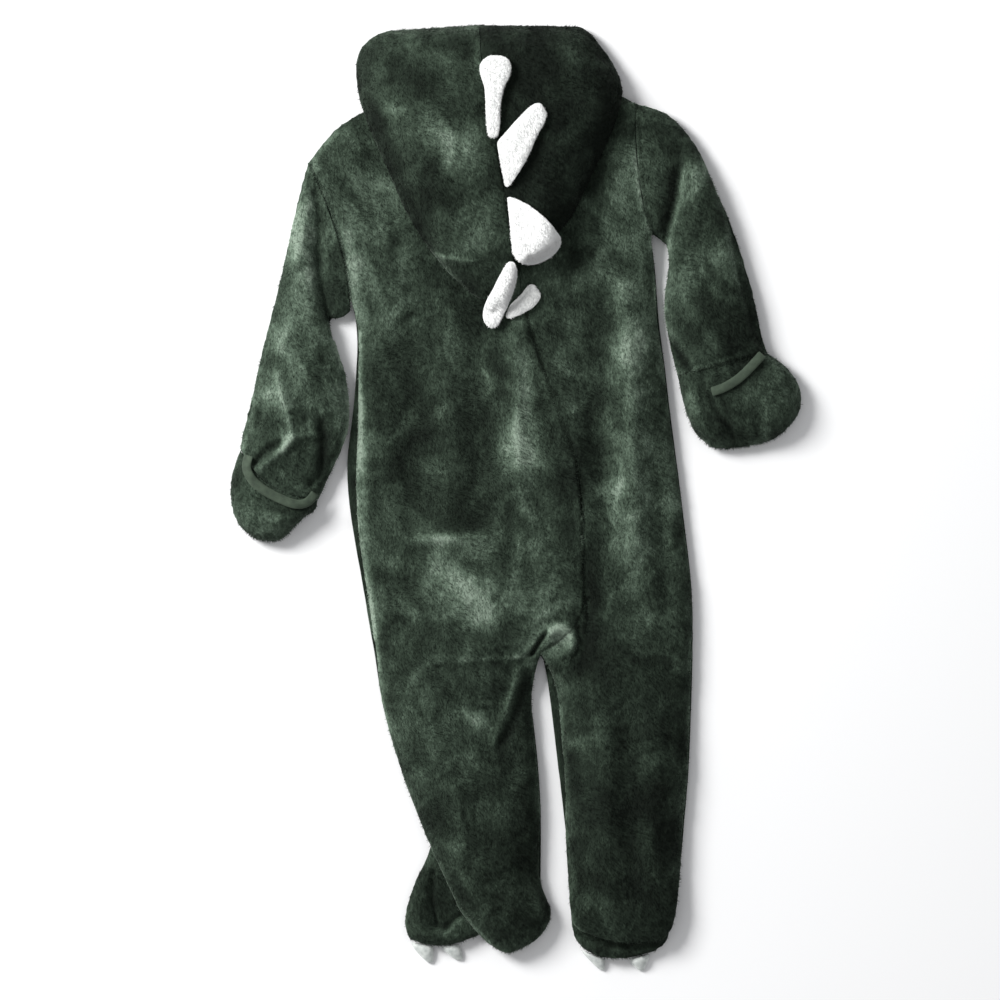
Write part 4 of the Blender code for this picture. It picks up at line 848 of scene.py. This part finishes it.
# The hood's nap; its streaks paint shade along the left rim and highlights on the folded lower edge
HOOD_LEFT_PATCHES = [
    Patch(400, 118, 10, 18, 60, 0.22), Patch(444, 140, 18, 26, 30, 0.26), Patch(466, 166, 20, 26, 20, 0.20),
    Patch(440, 70, 20, 40, 0, 0.08), Patch(385, 60, 20, 20, 0, -0.10), Patch(430, 200, 24, 30, 0, -0.14),
    Patch(484, 236, 24, 16, 20, 0.22), Patch(385, 140, 60, 8, -20, -0.16), Patch(440, 262, 6, 26, 0, 0.14),
    Patch(412, 90, 20, 20, 0, -0.06), Patch(470, 285, 12, 14, 0, -0.10), Patch(478, 90, 30, 8, 0, 0.08),
    Streak([(366, 90), (378, 140), (396, 185), (416, 222), (438, 248)], 8, -0.16),
    Streak([(357, 70), (365, 117), (378, 153), (394, 187), (410, 219), (434, 253)], 2.5, -0.14),
    Streak([(430, 253), (446, 258), (464, 261), (476, 262)], 2, 0.14), Patch(412, 48, 10, 16, 60, 0.16),
    Streak([(446, 268), (458, 284), (470, 296), (482, 304)], 2.5, 0.18), Patch(424, 245, 20, 12, -30, -0.10),
    Patch(398, 112, 4, 10, 0, 0.20), Patch(470, 200, 16, 10, 0, 0.10), Patch(380, 76, 8, 6, 0, 0.14),
]
# The streak along the right rim is painted shade
HOOD_RIGHT_PATCHES = [
    Patch(580, 70, 30, 24, 0, 0.06), Patch(545, 90, 30, 14, 0, 0.02), Patch(560, 180, 40, 20, 0, -0.06),
    Patch(600, 130, 30, 14, 0, 0.04), Patch(520, 60, 20, 20, 0, -0.02), Patch(528, 82, 12, 20, 0, -0.06),
    Streak([(622, 80), (621, 105), (609, 139), (589, 180), (571, 218), (540, 250)], 4, -0.12),
    Patch(585, 50, 10, 20, 0, 0.08),
]
spike_covers = [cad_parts[f"spike_{k}"].data for k in (1, 2, 3, 4, 5)]
# The right half's level, far below the left's, is partly its nap and partly painted shade
for side, slot, patches, level, flat, cut_area, seed in (
    ("left", "plush_light", HOOD_LEFT_PATCHES, 0.40, (0.16, 0.26), 0.0275, 7),
    ("right", "plush_dark", HOOD_RIGHT_PATCHES, 0.08, (0.15, 0.23), 0.0232, 8),
):
    hood = dress(cloth_of(f"hood_{side}"), HOOD_CREASES, patches, level)
    lay(hood, green_plush, slot, f"hood_{side}")
    pile = raise_pile(hood, seed, spike_covers)

# Hidden layers under the hood: the nape, and the rolled neck and face edge, folded in layers.
LAYER_STEP, LAYER_DEPTH = 0.006, 0.0012
EDGE_TILT = 0.8  # the layers show where the cloth looks up or down less than this
for node in ("hood_inner", "neck_roll"):
    layers = dress(cloth_of(node, 3, 0), (), (), 0.22, 0.6)
    for vertex in layers.data.vertices:
        if abs(vertex.normal.z) < EDGE_TILT:
            between = 0.5 + 0.5 * math.cos(2 * math.pi * vertex.co.z / LAYER_STEP)
            vertex.co -= vertex.normal * LAYER_DEPTH * between**4
    lay(layers, green_plush, "plush_dark", node)

# Spikes: white plush cut double, stuffed a little and sewn into the hood's centre seam.
WHITE_RAMP = [(0.0, (0.55, 0.56, 0.54)), (0.35, (0.76, 0.77, 0.75)), (1.0, (0.94, 0.945, 0.93))]
white_plush = plush("white_plush", WHITE_RAMP, 0.12, 0.22, 0.3, (1.0, 1.0, 1.0))
SPIKE_CREASES = [
    Crease([(489, 74), (496, 92), (494, 128)], 0.6, 3.0, 0),
    Crease([(540, 112), (530, 132), (516, 156), (508, 168)], 0.7, 3.4, 0),
    Crease([(514, 268), (506, 288), (494, 312)], 0.5, 3, 0),
    Crease([(534, 292), (526, 302), (514, 310)], 0.6, 3, 0),
]
SPIKE_TUFT_LENGTH, SPIKE_TUFT_SPACING, SPIKE_TUFT_WIDTH = 0.0015, 0.0010, 0.0006
SPIKE_LIT, SPIKE_LIT_OVER = 0.85, 0.6  # how far a spike is lit as if flat, but for its edges
# How light each is, lower where a spike lies in shade, which is painted shade; how often its upper side is
# evened out, and how much fuller the stuffing makes it
for node, level, smoothings, fuller, seed in (
    ("spike_1", 0.66, 10, 0.0004, 10),
    ("spike_2", 0.74, 14, 0.0016, 11),
    ("spike_3", 1.0, 16, 0.0002, 12),
    ("spike_4", 0.90, 60, 0.0004, 13),
    ("spike_5", 0.40, 40, 0.0016, 14),
):
    spike = cloth_of(node, 2, 1, 0.0)
    spike_mesh = bmesh.new()
    spike_mesh.from_mesh(spike.data)
    for _ in range(smoothings):
        bmesh.ops.smooth_vert(spike_mesh, verts=spike_mesh.verts, factor=0.5, use_axis_z=True)
    spike_mesh.normal_update()
    for vertex in spike_mesh.verts:
        vertex.co += Vector((vertex.normal.x, vertex.normal.y, 0.0)) * fuller
    spike_mesh.to_mesh(spike.data)
    spike_mesh.free()
    dress(spike, SPIKE_CREASES, (), level, 0.25)
    lit = []
    for vertex in spike.data.vertices:
        share = SPIKE_LIT * min(max(0.5 + vertex.normal.z / SPIKE_LIT_OVER, 0.0), 1.0)
        lit.append((vertex.normal * (1 - share) + Vector((0, 0, share))).normalized())
    spike.data.normals_split_custom_set_from_vertices(lit)
    lay(spike, white_plush, "plush_white", node)
    raise_pile(spike, seed, (), (), SPIKE_TUFT_LENGTH, SPIKE_TUFT_SPACING, SPIKE_TUFT_WIDTH, SPIKE_LIT)

# Feet: plush uppers joined to the legs at the ankle, over plush soles that lie on the surface.
FOOT_CREASES = [
    Crease([(433, 873), (432, 902), (437, 924), (443, 929), (460, 914)], 2.2, 2.5, 0),
    Crease([(574, 930), (604, 944), (635, 948), (668, 942)], 2.0, 3, 0),
    Crease([(590, 950), (620, 955), (650, 951)], 1.2, 3, 0),
    Crease([(425, 880), (416, 905), (418, 930)], -1.2, 5, 0),
]
# The feet's nap; the streak along the toe seam paints a highlight on its lit edge
FOOT_PATCHES = [
    Patch(420, 900, 24, 8, 15, 0.06), Patch(446, 905, 22, 10, 0, -0.04), Patch(625, 952, 6, 40, 0, 0.06),
    Streak([(431, 876), (430, 903), (435, 926), (445, 934), (461, 918)], 2, 0.20),
    Patch(414, 925, 24, 8, 10, -0.10),
]
# The right foot's lower level is painted shade, where it lies under the leg
for side, slot, level, flat, cut_area, seed in (
    ("left", "plush_light", 0.36, (0.12, 0.10), 0.0074, 15),
    ("right", "plush_dark", 0.30, (0.10, 0.06), 0.0053, 16),
):
    foot = dress(cloth_of(f"foot_{side}"), FOOT_CREASES, FOOT_PATCHES, level)
    lay(foot, green_plush, slot, f"foot_{side}")
    pile = raise_pile(foot, seed, [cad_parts[f"back_{side}"].data])
    sole = dress(cloth_of(f"sole_{side}", 2, 0), (), (), 0.22, 0.4)
    lay(sole, green_plush, "plush_dark", f"sole_{side}")

# Toe claws: pale satin, stuffed and sewn into the seam of the toes.
CLAW_RAMP = [(0.3, (0.42, 0.45, 0.43)), (0.7, (0.66, 0.69, 0.66))]
claw_satin, claw_shader, claw_nodes, claw_links = new_material("claw_satin", 0.38)
claw_shader.inputs["Sheen Weight"].default_value = 0.2
claw_where = claw_nodes.new("ShaderNodeTexCoord").outputs["Object"]
claw_puckers = noise_node(claw_nodes, claw_links, claw_where, 220.0, 3.0)
claw_links.new(ramp_node(claw_nodes, claw_links, claw_puckers, CLAW_RAMP), claw_shader.inputs["Base Color"])
claw_links.new(bump_node(claw_nodes, claw_links, claw_puckers, 0.4, 0.0008), claw_shader.inputs["Normal"])
for node in ("claw_left_1", "claw_left_2", "claw_right_1", "claw_right_2"):
    claw = cloth_of(node, 3, 0)
    claw.data.shade_smooth()
    lay(claw, claw_satin, "claw_satin", node)
